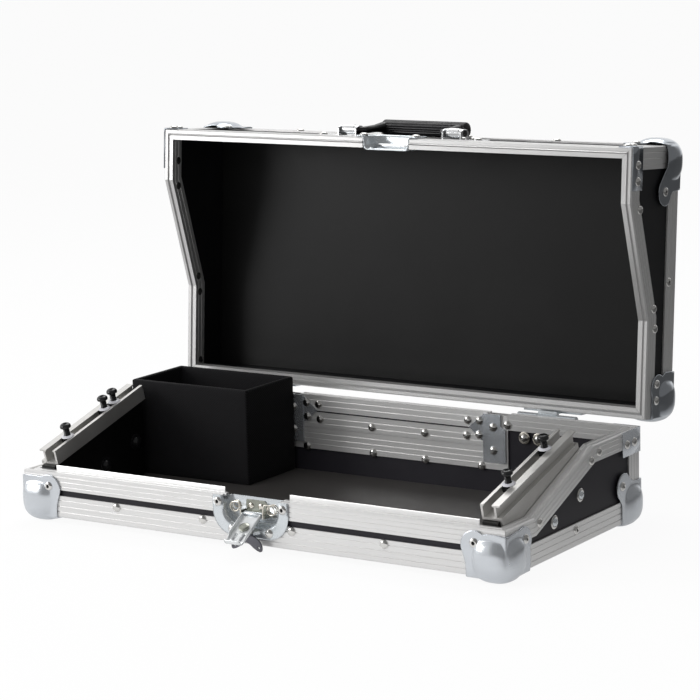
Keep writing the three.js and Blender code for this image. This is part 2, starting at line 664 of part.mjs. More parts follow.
function buildRackRails() {
  for (const [label, side] of SIDES) {
    const outward = vec(side, 0, 0);
    const ends = [0, RAIL_LENGTH].map((along) => station(railPoint(side, along, 0), outward, railDown));
    addPiece(baseGroup, `rack_rail_${label}`, sweep(railSection(), ends), extrusion());
    const under = railPoint(side, 0, RAIL_DEPTH + FIT);
    const topAt = (y) => under.z + (y - under.y) * Math.tan(RAIL_ANGLE);
    const floor = INNER + FIT;
    const y0 = INNER + FIT + EDGE_WALL + FIT;
    const y1 = RAIL_REAR_Y;
    const outer = RAIL_INNER_X + RAIL_FULL_WIDTH - RAIL_WALL - FIT;
    const outline = [[y0, floor], [y1, floor], [y1, topAt(y1)], [y0, topAt(y0)]];
    const board = plateInX(outline, side * (outer - RAIL_BOARD), side * outer);
    addPiece(baseGroup, `rail_board_${label}`, board, laminate());
  }
  LEFT_SCREW_SHARES.forEach((share, k) => buildRackScrew(-1, share, `rack_screw_left_${k + 1}`));
  RIGHT_SCREW_SHARES.forEach((share, k) => buildRackScrew(1, share, `rack_screw_right_${k + 1}`));
}

// Screw, cup washer and slot nut, clamped as one unit that slides along the rail
function buildRackScrew(side, share, name) {
  const middle = (RAIL_INNER_LIP + RAIL_SLOT_END) / 2;
  const foot = -NUT_HEIGHT - RAIL_LIP - FIT;
  const washerTop = FIT + WASHER_HEIGHT;
  const top = SCREW_STAND + SCREW_HEAD_HEIGHT;
  const profile = [
    [0, foot], [SCREW_SHANK_RADIUS, foot], [SCREW_SHANK_RADIUS, FIT], [WASHER_RADIUS, FIT],
    [WASHER_RADIUS * WASHER_TOP_SHARE, washerTop], [SCREW_SHANK_RADIUS, washerTop],
    [SCREW_SHANK_RADIUS, SCREW_STAND], [SCREW_HEAD_RADIUS, SCREW_STAND],
    [SCREW_HEAD_RADIUS, SCREW_STAND + SCREW_HEAD_HEIGHT * SCREW_SHOULDER_SHARE],
    [SCREW_HEAD_RADIUS * SCREW_TOP_SHARE, top], [0, top],
  ].map(([radius, up]) => new THREE.Vector2(radius, up));
  profile.push(profile[0].clone());
  const screw = new THREE.LatheGeometry(profile, 14);
  screw.rotateX(Math.PI / 2);
  const half = NUT_WIDTH / 2;
  const nut = block([-half, -half, foot], [half, half, foot + NUT_HEIGHT]);
  const piece = join(screw, nut);
  const holder = new THREE.Group();
  holder.position.copy(railPoint(side, share * RAIL_LENGTH, 0)).addScaledVector(X_AXIS, side * middle);
  holder.rotation.x = RAIL_ANGLE;
  baseGroup.add(holder);
  addPiece(holder, name, piece, blackScrew());
}

function buildFoamBox() {
  const x0 = -(HALF_WIDTH - RIM_THICKNESS - FIT);
  const z0 = INNER + FIT;
  const low = [x0, BOX_REAR_Y - BOX_DEPTH, z0];
  const high = [x0 + BOX_WIDTH, BOX_REAR_Y, z0 + BOX_HEIGHT];
  const inside = block(
    low.map((value) => value + BOX_WALL),
    [high[0] - BOX_WALL, high[1] - BOX_WALL, high[2] + OVERRUN],
  );
  addPiece(baseGroup, 'accessory_box', cut(block(low, high), inside), liningFabric());
}

// Rear cable flap: a U of edging round the notch, and the framed flap that stands in it
const flapAxisY = CASE_DEPTH + FLAP_HINGE_OFFSET;
const flapAxisZ = FLAP_FLOOR + FIT / 2;

function channelSection(leg) {
  const places = HATCH_GROOVE_SHARES.map((share) => leg * share);
  const outside = grooved(places, 0, GROOVE_DEPTH);
  const inside = grooved(places, RIM_THICKNESS, -GROOVE_DEPTH).reverse();
  return [
    [0, 0], ...outside, [leg, 0], [leg, EDGE_WALL], [EDGE_WALL, EDGE_WALL],
    [EDGE_WALL, RIM_THICKNESS - EDGE_WALL], [leg, RIM_THICKNESS - EDGE_WALL],
    [leg, RIM_THICKNESS], ...inside, [0, RIM_THICKNESS],
  ];
}

function buildHatch() {
  const half = FLAP_HALF_WIDTH + FIT;
  const inward = vec(0, -1, 0);
  const at = (x, z) => vec(x, CASE_DEPTH, z);
  const top = REAR_HEIGHT - TONGUE_HEIGHT;
  const path = [
    station(at(-half, top), vec(-1, 0, 0), inward),
    station(at(-half, FLAP_FLOOR), vec(-1, 0, -1), inward),
    station(at(half, FLAP_FLOOR), vec(1, 0, -1), inward),
    station(at(half, top), vec(1, 0, 0), inward),
  ];
  const edging = sweep(channelSection(HATCH_LEG), path);
  const knuckles = hingeBarrel({
    radius: FLAP_KNUCKLE_RADIUS, y: flapAxisY, z: flapAxisZ, wallY: CASE_DEPTH - EDGE_WALL / 2,
    drop: HATCH_LEG / 2, leaf: EDGE_WALL,
    spans: [[-FLAP_HINGE_HALF, -FLAP_KNUCKLE_HALF - FIT], [FLAP_KNUCKLE_HALF + FIT, FLAP_HINGE_HALF]],
  });
  const pin = barInX(FLAP_PIN_RADIUS, -FLAP_HINGE_HALF, FLAP_HINGE_HALF, flapAxisY, flapAxisZ, 10);
  addPiece(baseGroup, 'hatch_edging', join(edging, ...knuckles, pin), extrusion());
  const innerX = FLAP_HALF_WIDTH - STOP_PLATE_LAP;
  const floor = FLAP_FLOOR - STOP_PLATE_DROP;
  const shoulder = REAR_HEIGHT - STOP_PLATE_SHOULDER;
  const plateTop = REAR_HEIGHT - STOP_PLATE_TOP_GAP;
  for (const [label, side] of SIDES) {
    const outline = [
      [innerX, floor], [innerX + STOP_PLATE_WIDTH, floor],
      [innerX + STOP_PLATE_WIDTH, shoulder - STOP_PLATE], [innerX + STOP_PLATE_NECK, shoulder + STOP_PLATE],
      [innerX + STOP_PLATE_NECK, plateTop], [innerX, plateTop],
    ].map(([x, z]) => [side * x, z]);
    const y = CASE_DEPTH - RIM_THICKNESS - FIT;
    addPiece(baseGroup, `flap_stop_plate_${label}`, plateInY(outline, y - STOP_PLATE, y), zincPlate());
  }
}

// Hinge knuckles, each with a web to the wall and a flat leaf on it that reaches drop below the axis
function hingeBarrel({ radius, y, z, wallY, drop, spans, leaf }) {
  const leafZ = z - drop;
  const webZ = z - Math.sign(drop) * radius;
  return spans.flatMap(([x0, x1]) => [
    barInX(radius, x0, x1, y, z, 16),
    block([x0, wallY, Math.min(z, leafZ)], [x1, wallY + leaf, Math.max(z, leafZ)]),
    block([x0, wallY, Math.min(z, webZ)], [x1, y, Math.max(z, webZ)]),
  ]);
}

const flapGroup = new THREE.Group();

function buildFlap() {
  const half = FLAP_HALF_WIDTH;
  const floor = FLAP_FLOOR + FIT;
  const top = REAR_HEIGHT;
  const section = rimSection(grooveShape, FLAP_LEG, FLAP_LEG);
  const inward = vec(0, -1, 0);
  const at = (x, z) => vec(x, CASE_DEPTH, z);
  const ring = [
    station(at(-half, floor), vec(-1, 0, -1), inward), station(at(half, floor), vec(1, 0, -1), inward),
    station(at(half, top), vec(1, 0, 1), inward), station(at(-half, top), vec(-1, 0, 1), inward),
  ];
  const frame = sweep(section, ring, true);
  const knuckle = hingeBarrel({
    radius: FLAP_KNUCKLE_RADIUS, y: flapAxisY, z: flapAxisZ, wallY: CASE_DEPTH - EDGE_WALL / 2,
    drop: -FLAP_LEG / 2, spans: [[-FLAP_KNUCKLE_HALF, FLAP_KNUCKLE_HALF]], leaf: EDGE_WALL,
  });
  const bore = barInX(FLAP_PIN_RADIUS + FIT, -HALF_WIDTH, HALF_WIDTH, flapAxisY, flapAxisZ, 10);
  addPiece(flapGroup, 'flap_edging', cut(join(frame, ...knuckle), bore), extrusion());
  const inset = RIM_HEAD + FIT;
  const board = block(
    [-half + inset, CASE_DEPTH - INNER, floor + inset], [half - inset, CASE_DEPTH - SKIN, top - inset],
  );
  addPiece(flapGroup, 'flap_board', board, laminate());
}

// Lid hinges: leaf plates on the rear faces, base knuckles outside, lid knuckle between them
function buildHinges() {
  for (const [label, side] of SIDES) {
    const x = side * HINGE_CENTRE_X;
    const faceY = CASE_DEPTH + FIT;
    const clear = HINGE_KNUCKLE_RADIUS + FIT;
    const plate = block(
      [x - HINGE_HALF, faceY, HINGE_Z - HINGE_BASE_REACH],
      [x + HINGE_HALF, faceY + HINGE_PLATE, HINGE_Z - clear],
    );
    const ears = hingeBarrel({
      radius: HINGE_KNUCKLE_RADIUS, y: HINGE_Y, z: HINGE_Z, wallY: faceY,
      drop: clear + HINGE_PLATE, leaf: HINGE_PLATE,
      spans: [[x - HINGE_HALF, x - HINGE_KNUCKLE_HALF], [x + HINGE_KNUCKLE_HALF, x + HINGE_HALF]],
    });
    const pin = barInX(HINGE_PIN_RADIUS, x - HINGE_HALF, x + HINGE_HALF, HINGE_Y, HINGE_Z, 12);
    addPiece(baseGroup, `base_hinge_leaf_${label}`, join(plate, ...ears, pin), zincPlate());
    const lidPlate = block(
      [x - HINGE_HALF, faceY, HINGE_Z + HINGE_LID_START],
      [x + HINGE_HALF, faceY + HINGE_PLATE, HINGE_Z + HINGE_LID_REACH],
    );
    const lidEar = hingeBarrel({
      radius: HINGE_KNUCKLE_RADIUS, y: HINGE_Y, z: HINGE_Z, wallY: faceY,
      drop: -HINGE_LID_START - HINGE_PLATE, leaf: HINGE_PLATE,
      spans: [[x - HINGE_KNUCKLE_HALF + FIT, x + HINGE_KNUCKLE_HALF - FIT]],
    });
    const bore = barInX(HINGE_PIN_RADIUS + FIT, x - HINGE_HALF, x + HINGE_HALF, HINGE_Y, HINGE_Z, 12);
    addPiece(lidGroup, `lid_hinge_leaf_${label}`, cut(join(lidPlate, ...lidEar), bore), zincPlate());
  }
}

// Latch dish: a flange on the face and a pocket behind it, open at the seam, with walls up to shellTop
function dishBody({ half, floor, top, shellTop, radius, pocketHalf, pocketFloor, pocketRadius }) {
  const face = -FIT - DISH_STEEL;
  const up = Math.sign(top - floor);
  const flange = plateInY(dishOutline(half, floor, top, radius), face, -FIT);
  const shellOutline = dishOutline(
    pocketHalf + DISH_STEEL, pocketFloor - up * DISH_STEEL, shellTop, pocketRadius + DISH_STEEL,
  );
  const shell = plateInY(shellOutline, face, POCKET_DEPTH + DISH_STEEL);
  const hollowOutline = dishOutline(pocketHalf, pocketFloor, top + up * OVERRUN, pocketRadius);
  return cut(join(flange, shell), plateInY(hollowOutline, face - OVERRUN, POCKET_DEPTH));
}

function buildLatchDish() {
  const dish = dishBody({
    half: DISH_HALF_WIDTH, floor: DISH_FLOOR, top: FRONT_HEIGHT, radius: DISH_RADIUS,
    shellTop: FRONT_HEIGHT - TONGUE_HEIGHT,
    pocketHalf: POCKET_HALF_WIDTH, pocketFloor: POCKET_FLOOR, pocketRadius: POCKET_RADIUS,
  });
  const lugs = SIDES.map(([, side]) => {
    const x0 = side * (ROLLER_PIN_HALF - FIT);
    const x1 = side * (ROLLER_PIN_HALF + DISH_STEEL);
    const low = ROLLER_Z - ROLLER_RADIUS;
    return block(
      [Math.min(x0, x1), ROLLER_Y - ROLLER_RADIUS, low],
      [Math.max(x0, x1), POCKET_DEPTH + DISH_STEEL / 2, ROLLER_Z + ROLLER_RADIUS],
    );
  });
  const pin = barInX(ROLLER_PIN_RADIUS, -ROLLER_PIN_HALF, ROLLER_PIN_HALF, ROLLER_Y, ROLLER_Z, 10);
  addPiece(baseGroup, 'latch_dish', join(dish, ...lugs, pin), zincPlate());
  for (const [label, side] of SIDES) {
    addPiece(baseGroup, `latch_spring_${label}`, springGeometry(side), springWire());
  }
}

// Torsion spring: a leg down beside the roller, a coil, and a leg back to the wall of the pocket
class LatchSpring extends THREE.Curve {
  constructor(side) {
    super();
    this.side = side;
    this.points = [];
    const legFloor = ROLLER_Z + ROLLER_RADIUS + SPRING_WIRE;
    const front = ROLLER_Y - ROLLER_RADIUS;
    const top = SPRING_CENTRE_Z + SPRING_RADIUS;
    this.points.push([SPRING_LEG_X, front, legFloor], [SPRING_LEG_X, front, (legFloor + top) / 2]);
    const steps = SPRING_STEPS_A_TURN * SPRING_TURNS;
    for (let k = 0; k <= steps; k += 1) {
      const turn = k / SPRING_STEPS_A_TURN;
      const angle = Math.PI / 2 - 2 * Math.PI * turn;
      this.points.push([
        SPRING_CENTRE_X + SPRING_RADIUS * Math.cos(angle), front + SPRING_PITCH * turn,
        SPRING_CENTRE_Z + SPRING_RADIUS * Math.sin(angle),
      ]);
    }
    const [x, y, z] = this.points[this.points.length - 1];
    const wallY = POCKET_DEPTH - FIT - SPRING_WIRE / 2;
    this.points.push([x, (y + wallY) / 2, z], [x, wallY, z]);
    this.points = this.points.map((point) => vec(side * point[0], point[1], point[2]));
    this.curve = new THREE.CatmullRomCurve3(this.points, false, 'centripetal');
  }

  getPoint(t, target = new THREE.Vector3()) {
    return target.copy(this.curve.getPoint(t));
  }
}

function springGeometry(side) {
  const path = new LatchSpring(side);
  const shape = new THREE.Shape(
    circleOutline(SPRING_WIRE / 2, SPRING_SIDES).map(([a, b]) => new THREE.Vector2(a, b)),
  );
  const steps = path.points.length + SPRING_STEPS_A_TURN;
  const label = side < 0 ? 'left' : 'right';
  console.log(`latch spring ${label}: least gap ${springGap(path, steps).toFixed(2)} mm`);
  return new THREE.ExtrudeGeometry(shape, { steps, extrudePath: path, bevelEnabled: false });
}

// Least distance between stretches of the wire that lie more than half a turn apart
function springGap(path, steps) {
  const points = path.getSpacedPoints(steps * 4);
  const spacing = path.getLength() / (steps * 4);
  const apart = Math.ceil((Math.PI * SPRING_RADIUS) / spacing);
  let least = Infinity;
  for (let a = 0; a < points.length; a += 1) {
    for (let b = a + apart; b < points.length; b += 1) {
      least = Math.min(least, points[a].distanceTo(points[b]));
    }
  }
  return least - SPRING_WIRE;
}

// Latch arm, modelled along +z as it stands when latched, then swung down about the roller
const armGroup = new THREE.Group();
const wingGroup = new THREE.Group();
const ARM_SWING_DEGREES = 90 + ARM_DROOP_DEGREES;

function buildLatchArm() {
  const start = ROLLER_RADIUS * ARM_START_SHARE;
  const plate = block([-ARM_HALF_WIDTH, -ARM_STEEL / 2, start], [ARM_HALF_WIDTH, ARM_STEEL / 2, ARM_LENGTH]);
  const cheeks = SIDES.map(([, side]) => {
    const x0 = side * ARM_HALF_WIDTH;
    const x1 = side * (ARM_HALF_WIDTH - ARM_STEEL);
    return block([Math.min(x0, x1), 0, start], [Math.max(x0, x1), ARM_CHEEK, ARM_LENGTH - HOOK_LIP]);
  });
  const lip = block(
    [-ARM_HALF_WIDTH + ARM_STEEL, 0, ARM_LENGTH - ARM_STEEL],
    [ARM_HALF_WIDTH - ARM_STEEL, HOOK_LIP, ARM_LENGTH],
  );
  const tube = barInX(ROLLER_RADIUS, -ROLLER_HALF, ROLLER_HALF, 0, 0, 14);
  const bore = barInX(ROLLER_PIN_RADIUS + FIT, -HALF_WIDTH, HALF_WIDTH, 0, 0, 10);
  const disc = circleOutline(HUB_RADIUS, 12).map(([a, b]) => [a, b + HUB_PLACE]);
  const hub = plateInY(disc, -HUB_STAND, HUB_BACK);
  const reach = HUB_RADIUS * AXLE_REACH_SHARE;
  const axle = barInX(WING_AXLE_RADIUS, -reach, reach, -HUB_STAND, HUB_PLACE, 10);
  const arm = cut(join(plate, ...cheeks, lip, tube, hub, axle), bore);
  addPiece(armGroup, 'latch_arm', arm, zincPlate());
  armGroup.position.set(0, ROLLER_Y, ROLLER_Z);
  armGroup.rotation.x = THREE.MathUtils.degToRad(ARM_SWING_DEGREES);
  baseGroup.add(armGroup);
}

// Butterfly wing hanging straight down from the hub's axle; a bridge below the hub joins its two ears
function buildLatchWing() {
  const reach = HUB_RADIUS * AXLE_REACH_SHARE;
  const inner = HUB_RADIUS + FIT;
  const root = WING_AXLE_RADIUS + FIT;
  const right = [
    [inner, -inner], [inner, -root - WING_STEEL], [reach + FIT, -root - WING_STEEL],
    ...WING_OUTLINE_SHARES.map(([across, down]) => [WING_HALF_WIDTH * across, -WING_DROP * down]),
  ];
  const left = right.slice(0, -1).reverse().map(([x, z]) => [-x, z]);
  const plate = plateInY([...right, ...left], -WING_STEEL / 2, WING_STEEL / 2);
  const eyes = SIDES.flatMap(([, side]) => {
    const x0 = side * inner;
    const x1 = side * reach;
    return [barBetween(root + WING_STEEL, x0, x1, 0, 0), block(
      [Math.min(x0, x1), -WING_STEEL / 2, -root - WING_STEEL * 2],
      [Math.max(x0, x1), WING_STEEL / 2, -root],
    )];
  });
  const bore = barInX(root, -OVERRUN, OVERRUN, 0, 0, 10);
  const [holeAcross, holeDown] = [WING_HALF_WIDTH * WING_HOLE_SHARES[0], WING_DROP * WING_HOLE_SHARES[1]];
  const holes = SIDES.map(([, side]) => plateInY(
    circleOutline(WING_EAR_HOLE, 8).map(([a, b]) => [a + side * holeAcross, b - holeDown]),
    -OVERRUN, OVERRUN,
  ));
  addPiece(wingGroup, 'latch_wing', cut(join(plate, ...eyes), bore, ...holes), darkSteel());
  const swing = THREE.MathUtils.degToRad(ARM_SWING_DEGREES);
  const axle = vec(0, -HUB_STAND, HUB_PLACE).applyAxisAngle(X_AXIS, swing);
  wingGroup.position.set(0, ROLLER_Y, ROLLER_Z).add(axle);
  baseGroup.add(wingGroup);
}

const barBetween = (radius, x0, x1, y, z) => barInX(radius, Math.min(x0, x1), Math.max(x0, x1), y, z, 12);

// Lid, modelled closed and then turned back about the hinge axis
const lidGroup = new THREE.Group();
const lidPivot = new THREE.Group();

function buildLidPanels() {
  const wallFloor = FIT + RIM_HEAD + FIT;
  const crossHalf = HALF_WIDTH - INNER - FIT;
  const top = CLOSED_HEIGHT - SKIN;
  const clear = DISH_STEEL + FIT;
  const keeperOutline = dishOutline(
    KEEPER_POCKET_HALF + clear, KEEPER_POCKET_TOP + clear,
    FRONT_HEIGHT - OVERRUN, KEEPER_POCKET_RADIUS + clear,
  );
  const keeperCut = plateInY(keeperOutline, -OVERRUN, OVERRUN);
  const front = block([-crossHalf, SKIN, FRONT_HEIGHT + wallFloor], [crossHalf, INNER, top]);
  addPiece(lidGroup, 'lid_front_panel', cut(front, keeperCut), laminate());
  const rear = block(
    [-crossHalf, CASE_DEPTH - INNER, REAR_HEIGHT + wallFloor], [crossHalf, CASE_DEPTH - SKIN, top],
  );
  addPiece(lidGroup, 'lid_rear_panel', rear, laminate());
  const roof = block(
    [-crossHalf, INNER + FIT, CLOSED_HEIGHT - INNER], [crossHalf, CASE_DEPTH - INNER - FIT, top],
  );
  addPiece(lidGroup, 'lid_top_panel', roof, laminate());
  for (const [label, side] of SIDES) {
    const outline = [
      ...seamLineBetween(wallFloor, SKIN, CASE_DEPTH - SKIN), [CASE_DEPTH - SKIN, top], [SKIN, top],
    ];
    const wall = plateInX(outline, side * (HALF_WIDTH - SKIN), side * (HALF_WIDTH - INNER));
    addPiece(lidGroup, `lid_${label}_panel`, wall, laminate());
  }
}

function buildLidEdging() {
  const uprights = SIDES.flatMap(([, side]) => [
    { side, rear: 0, height: FRONT_HEIGHT + FIT + RIM_OUTER_LEG + FIT },
    { side, rear: 1, height: REAR_HEIGHT + FIT + RIM_OUTER_LEG + FIT },
  ]);
  addPiece(lidGroup, 'lid_edge_frame', edgeFrame(CLOSED_HEIGHT, -1, uprights), extrusion());
  const section = rimSection(tongueShape, RIM_OUTER_LEG, RIM_INNER_LEG);
  const keeperEdge = KEEPER_POCKET_HALF + DISH_STEEL + FIT;
  const square = (x) => ({ x, mitre: 0 });
  const frontZ = FRONT_HEIGHT + FIT;
  const rearZ = REAR_HEIGHT + FIT;
  const lengths = [
    ['lid_front_rim_left', 0, leftMitre, square(-keeperEdge), frontZ],
    ['lid_front_rim_right', 0, square(keeperEdge), rightMitre, frontZ],
    ['lid_rear_rim', 1, leftMitre, rightMitre, rearZ],
  ];
  for (const [name, rear, from, to, z] of lengths) {
    addPiece(lidGroup, name, rimAlongX(section, z, -1, rear, from, to), extrusion());
  }
  for (const [label, side] of SIDES) {
    addPiece(lidGroup, `lid_${label}_rim`, sideRim(section, side, seamLine(FIT), -1), extrusion());
  }
}

function buildKeeper() {
  const dish = dishBody({
    half: KEEPER_HALF_WIDTH, floor: KEEPER_TOP, top: FRONT_HEIGHT + FIT, radius: KEEPER_RADIUS,
    shellTop: FRONT_HEIGHT + FIT,
    pocketHalf: KEEPER_POCKET_HALF, pocketFloor: KEEPER_POCKET_TOP, pocketRadius: KEEPER_POCKET_RADIUS,
  });
  const reach = KEEPER_POCKET_HALF + DISH_STEEL / 2;
  const strike = barInX(STRIKE_RADIUS, -reach, reach, STRIKE_Y, STRIKE_Z, 10);
  addPiece(lidGroup, 'latch_keeper', join(dish, strike), zincPlate());
}

const handleGroup = new THREE.Group();
const handleFaceY = SKIN - FIT;

// Brackets on the front wall; the handle's rod turns in the holes of their cheeks
function buildHandleBrackets() {
  const face = handleFaceY;
  for (const [label, side] of SIDES) {
    const centre = side * HANDLE_HALF_SPAN;
    const footEnd = centre + side * (BRACKET_FOOT_LENGTH - BRACKET_HALF_WIDTH);
    const footStart = centre - side * BRACKET_HALF_WIDTH;
    const foot = block(
      [Math.min(footStart, footEnd), face - BRACKET_STEEL, HANDLE_PIVOT_Z - BRACKET_FOOT_DEPTH / 2],
      [Math.max(footStart, footEnd), face, HANDLE_PIVOT_Z + BRACKET_FOOT_DEPTH / 2],
    );
    const cheeks = [-1, 1].map((end) => {
      const x0 = centre + end * BRACKET_HALF_WIDTH;
      const x1 = x0 - end * BRACKET_STEEL;
      const outline = cheekOutline(face);
      return plateInX(outline, Math.min(x0, x1), Math.max(x0, x1));
    });
    const bore = barInX(HANDLE_ROD_RADIUS + HANDLE_BORE_GAP, centre - OVERRUN, centre + OVERRUN,
      face - HANDLE_PIVOT_STAND, HANDLE_PIVOT_Z, 12);
    addPiece(lidGroup, `handle_bracket_${label}`, cut(join(foot, ...cheeks), bore), chrome());
  }
}

function cheekOutline(face) {
  const shape = new THREE.Shape();
  const radius = BRACKET_HEIGHT - HANDLE_PIVOT_STAND;
  const half = BRACKET_DEPTH / 2;
  const tipY = face - HANDLE_PIVOT_STAND;
  shape.moveTo(face - BRACKET_STEEL / 2, HANDLE_PIVOT_Z - half);
  shape.lineTo(tipY, HANDLE_PIVOT_Z - half);
  shape.absellipse(tipY, HANDLE_PIVOT_Z, radius, half, Math.PI * 1.5, Math.PI / 2, true);
  shape.lineTo(face - BRACKET_STEEL / 2, HANDLE_PIVOT_Z + half);
  return shapeOutline(shape, 5);
}

// Rod handle lying back on the wall, and the ribbed sleeve that takes its bar and the ends of its arms
function buildHandle() {
  const pivotY = handleFaceY - HANDLE_PIVOT_STAND;
  const gripY = handleFaceY - HANDLE_GRIP_STAND;
  const stub = HANDLE_HALF_SPAN + BRACKET_HALF_WIDTH + BRACKET_STEEL;
  const turn = HANDLE_HALF_SPAN - BRACKET_HALF_WIDTH - BRACKET_STEEL - HANDLE_ROD_RADIUS;
  const back = HANDLE_REACH / Math.hypot(HANDLE_REACH, gripY - pivotY);
  const lean = (gripY - pivotY) / Math.hypot(HANDLE_REACH, gripY - pivotY);
  const u = vec(0, lean, back);
  const v = vec(0, back, -lean);
  const corners = [
    [-stub, 0], [-turn, 0], [-turn, HANDLE_REACH], [turn, HANDLE_REACH], [turn, 0], [stub, 0],
  ];
  const path = roundedCorners(corners, HANDLE_BEND);
  const origin = vec(0, pivotY, HANDLE_PIVOT_Z);
  addPiece(handleGroup, 'handle_rod', planarRod(HANDLE_ROD_RADIUS, path, origin, u, v), darkSteel());
  const hollow = planarRod(HANDLE_ROD_RADIUS + HANDLE_BORE_GAP, path, origin, u, v);
  const sleeve = ribbedSleeve(origin.clone().addScaledVector(u, HANDLE_REACH));
  addPiece(handleGroup, 'handle_grip', cut(sleeve, hollow), blackRubber());
}

// Corners replaced by three points on a round
function roundedCorners(corners, radius) {
  const points = [corners[0]];
  for (let k = 1; k < corners.length - 1; k += 1) {
    const [before, here, after] = [corners[k - 1], corners[k], corners[k + 1]];
    const from = stepToward(here, before, radius);
    const to = stepToward(here, after, radius);
    const middle = [0, 1].map((c) => (
      ((from[c] + to[c]) * (1 - HANDLE_BEND_SHARE)) / 2 + here[c] * HANDLE_BEND_SHARE
    ));
    points.push(from, middle, to);
  }
  points.push(corners[corners.length - 1]);
  return points;
}

function stepToward([x, y], [tx, ty], distance) {
  const length = Math.hypot(tx - x, ty - y);
  return [x + ((tx - x) * distance) / length, y + ((ty - y) * distance) / length];
}

// Round rod along points of a plane: first coordinate on x, second on the direction u; v is square to it
function planarRod(radius, points, origin, u, v) {
  const at = ([a, b]) => origin.clone().addScaledVector(X_AXIS, a).addScaledVector(u, b);
  const places = points.map(at);
  const stations = places.map((place, k) => {
    const before = places[Math.max(k - 1, 0)];
    const after = places[Math.min(k + 1, places.length - 1)];
    const inDirection = place.clone().sub(before).normalize();
    const outDirection = after.clone().sub(place).normalize();
    const tangent = inDirection.clone().add(outDirection).normalize();
    const side = v.clone().cross(tangent).normalize();
    const reference = k === 0 ? outDirection : inDirection;
    side.divideScalar(tangent.dot(reference));
    return station(place, side, v);
  });
  return sweep(circleOutline(radius, 12), stations);
}

function ribbedSleeve(middle) {
  const steps = HANDLE_GRIP_RIBS * 4;
  const outline = [];
  for (let k = 0; k < steps; k += 1) {
    const angle = (2 * Math.PI * k) / steps;
    const radius = HANDLE_GRIP_RADIUS - (k % 4 === 0 ? HANDLE_GRIP_RIB_DEPTH : 0);
    outline.push([radius * Math.cos(angle), radius * Math.sin(angle)]);
  }
  const leftEnd = HANDLE_GRIP_END_SHARES.map(([along, wide]) => [-along, wide]);
  const rings = [...leftEnd, ...[...HANDLE_GRIP_END_SHARES].reverse()];
  return sweep(outline, rings.map(([along, wide]) => station(
    middle.clone().addScaledVector(X_AXIS, along * HANDLE_GRIP_HALF),
    Y_AXIS.clone().multiplyScalar(wide), Z_AXIS.clone().multiplyScalar(wide),
  )));
}

buildBasePanels();
buildBaseEdging();
buildCorners(baseGroup, 'base', 0, 1);
buildRackRails();
buildFoamBox();
buildHatch();
buildFlap();
buildHinges();
buildLatchDish();
buildLatchArm();
buildLatchWing();
buildLidPanels();
buildLidEdging();
buildCorners(lidGroup, 'lid', CLOSED_HEIGHT, -1);
buildKeeper();
buildHandleBrackets();
buildHandle();

// The lid's pieces are modelled shut, so a pivot group on the hinge axis turns them back
lidGroup.add(handleGroup);
lidGroup.position.set(0, -HINGE_Y, -HINGE_Z);
lidPivot.add(lidGroup);
lidPivot.position.set(0, HINGE_Y, HINGE_Z);
lidPivot.rotation.x = -THREE.MathUtils.degToRad(LID_OPEN_DEGREES);
baseGroup.add(flapGroup);

const controllerCase = new THREE.Group();
controllerCase.add(baseGroup, lidPivot);

// Origin below the middle of the open case, on the surface that its corners stand on
controllerCase.updateMatrixWorld(true);
const bounds = new THREE.Box3().setFromObject(controllerCase, true);
const middle = bounds.getCenter(vec(0, 0, 0));
controllerCase.position.set(-middle.x, -middle.y, -bounds.min.z);

export default controllerCase;
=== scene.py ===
# Rack-width lighting controller case with its lid open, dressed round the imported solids.
# Measures are millimetres in the case's own places: x across from the middle, y back from the
# front face, z up from the bottom edging. Lid pieces are worked out shut and then turned back.
import math

import bmesh
import bpy
import numpy as np
from mathutils import Matrix, Vector


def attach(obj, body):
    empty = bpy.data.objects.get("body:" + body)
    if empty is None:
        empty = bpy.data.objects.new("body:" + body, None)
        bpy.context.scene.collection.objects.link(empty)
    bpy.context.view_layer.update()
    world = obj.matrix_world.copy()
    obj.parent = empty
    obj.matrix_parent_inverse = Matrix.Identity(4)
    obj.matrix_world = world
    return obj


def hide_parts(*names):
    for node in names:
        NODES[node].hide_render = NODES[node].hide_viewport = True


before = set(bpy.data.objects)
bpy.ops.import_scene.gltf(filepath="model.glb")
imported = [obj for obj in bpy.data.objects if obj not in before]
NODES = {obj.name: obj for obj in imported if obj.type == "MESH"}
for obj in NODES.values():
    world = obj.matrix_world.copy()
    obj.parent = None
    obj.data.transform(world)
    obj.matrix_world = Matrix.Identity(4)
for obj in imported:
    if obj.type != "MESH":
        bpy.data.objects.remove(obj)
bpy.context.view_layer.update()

MM = 0.001
TAU = 2 * math.pi
HALF_WIDTH, DEPTH, CLOSED_HEIGHT = 256.0, 247.0, 137.5
# The frame's origin, and the hinge pins about which the shut lid turns back
ROW_ORIGIN = np.array((0.0, 153.86325, -7.1397))
HINGE = np.array((0.0, 254.3, 79.3))
LID_TURN = math.radians(-94.4)


# Places: case coordinates to the frame's metres
def row_base(points):
    """Takes off the row's origin and changes millimetres to metres."""
    return (points - ROW_ORIGIN) * MM


def turn_x(points, angle):
    """Turns points about the x axis: y and z mix by the angle's cosine and sine."""
    c, s = math.cos(angle), math.sin(angle)
    x, y, z = np.moveaxis(points, -1, 0)
    return np.stack((x, y * c - z * s, y * s + z * c), -1)


def row_lid(points):
    """A point of the shut lid, turned back about the hinge pins and put in the row's frame."""
    return row_base(turn_x(points - HINGE, LID_TURN) + HINGE)


# Surfaces: grids of points and the quads between neighbours
def spread(x, y, z):
    """Points [..., xyz] from three coordinates stretched to their common shape."""
    return np.stack(np.broadcast_arrays(x, y, z), -1)


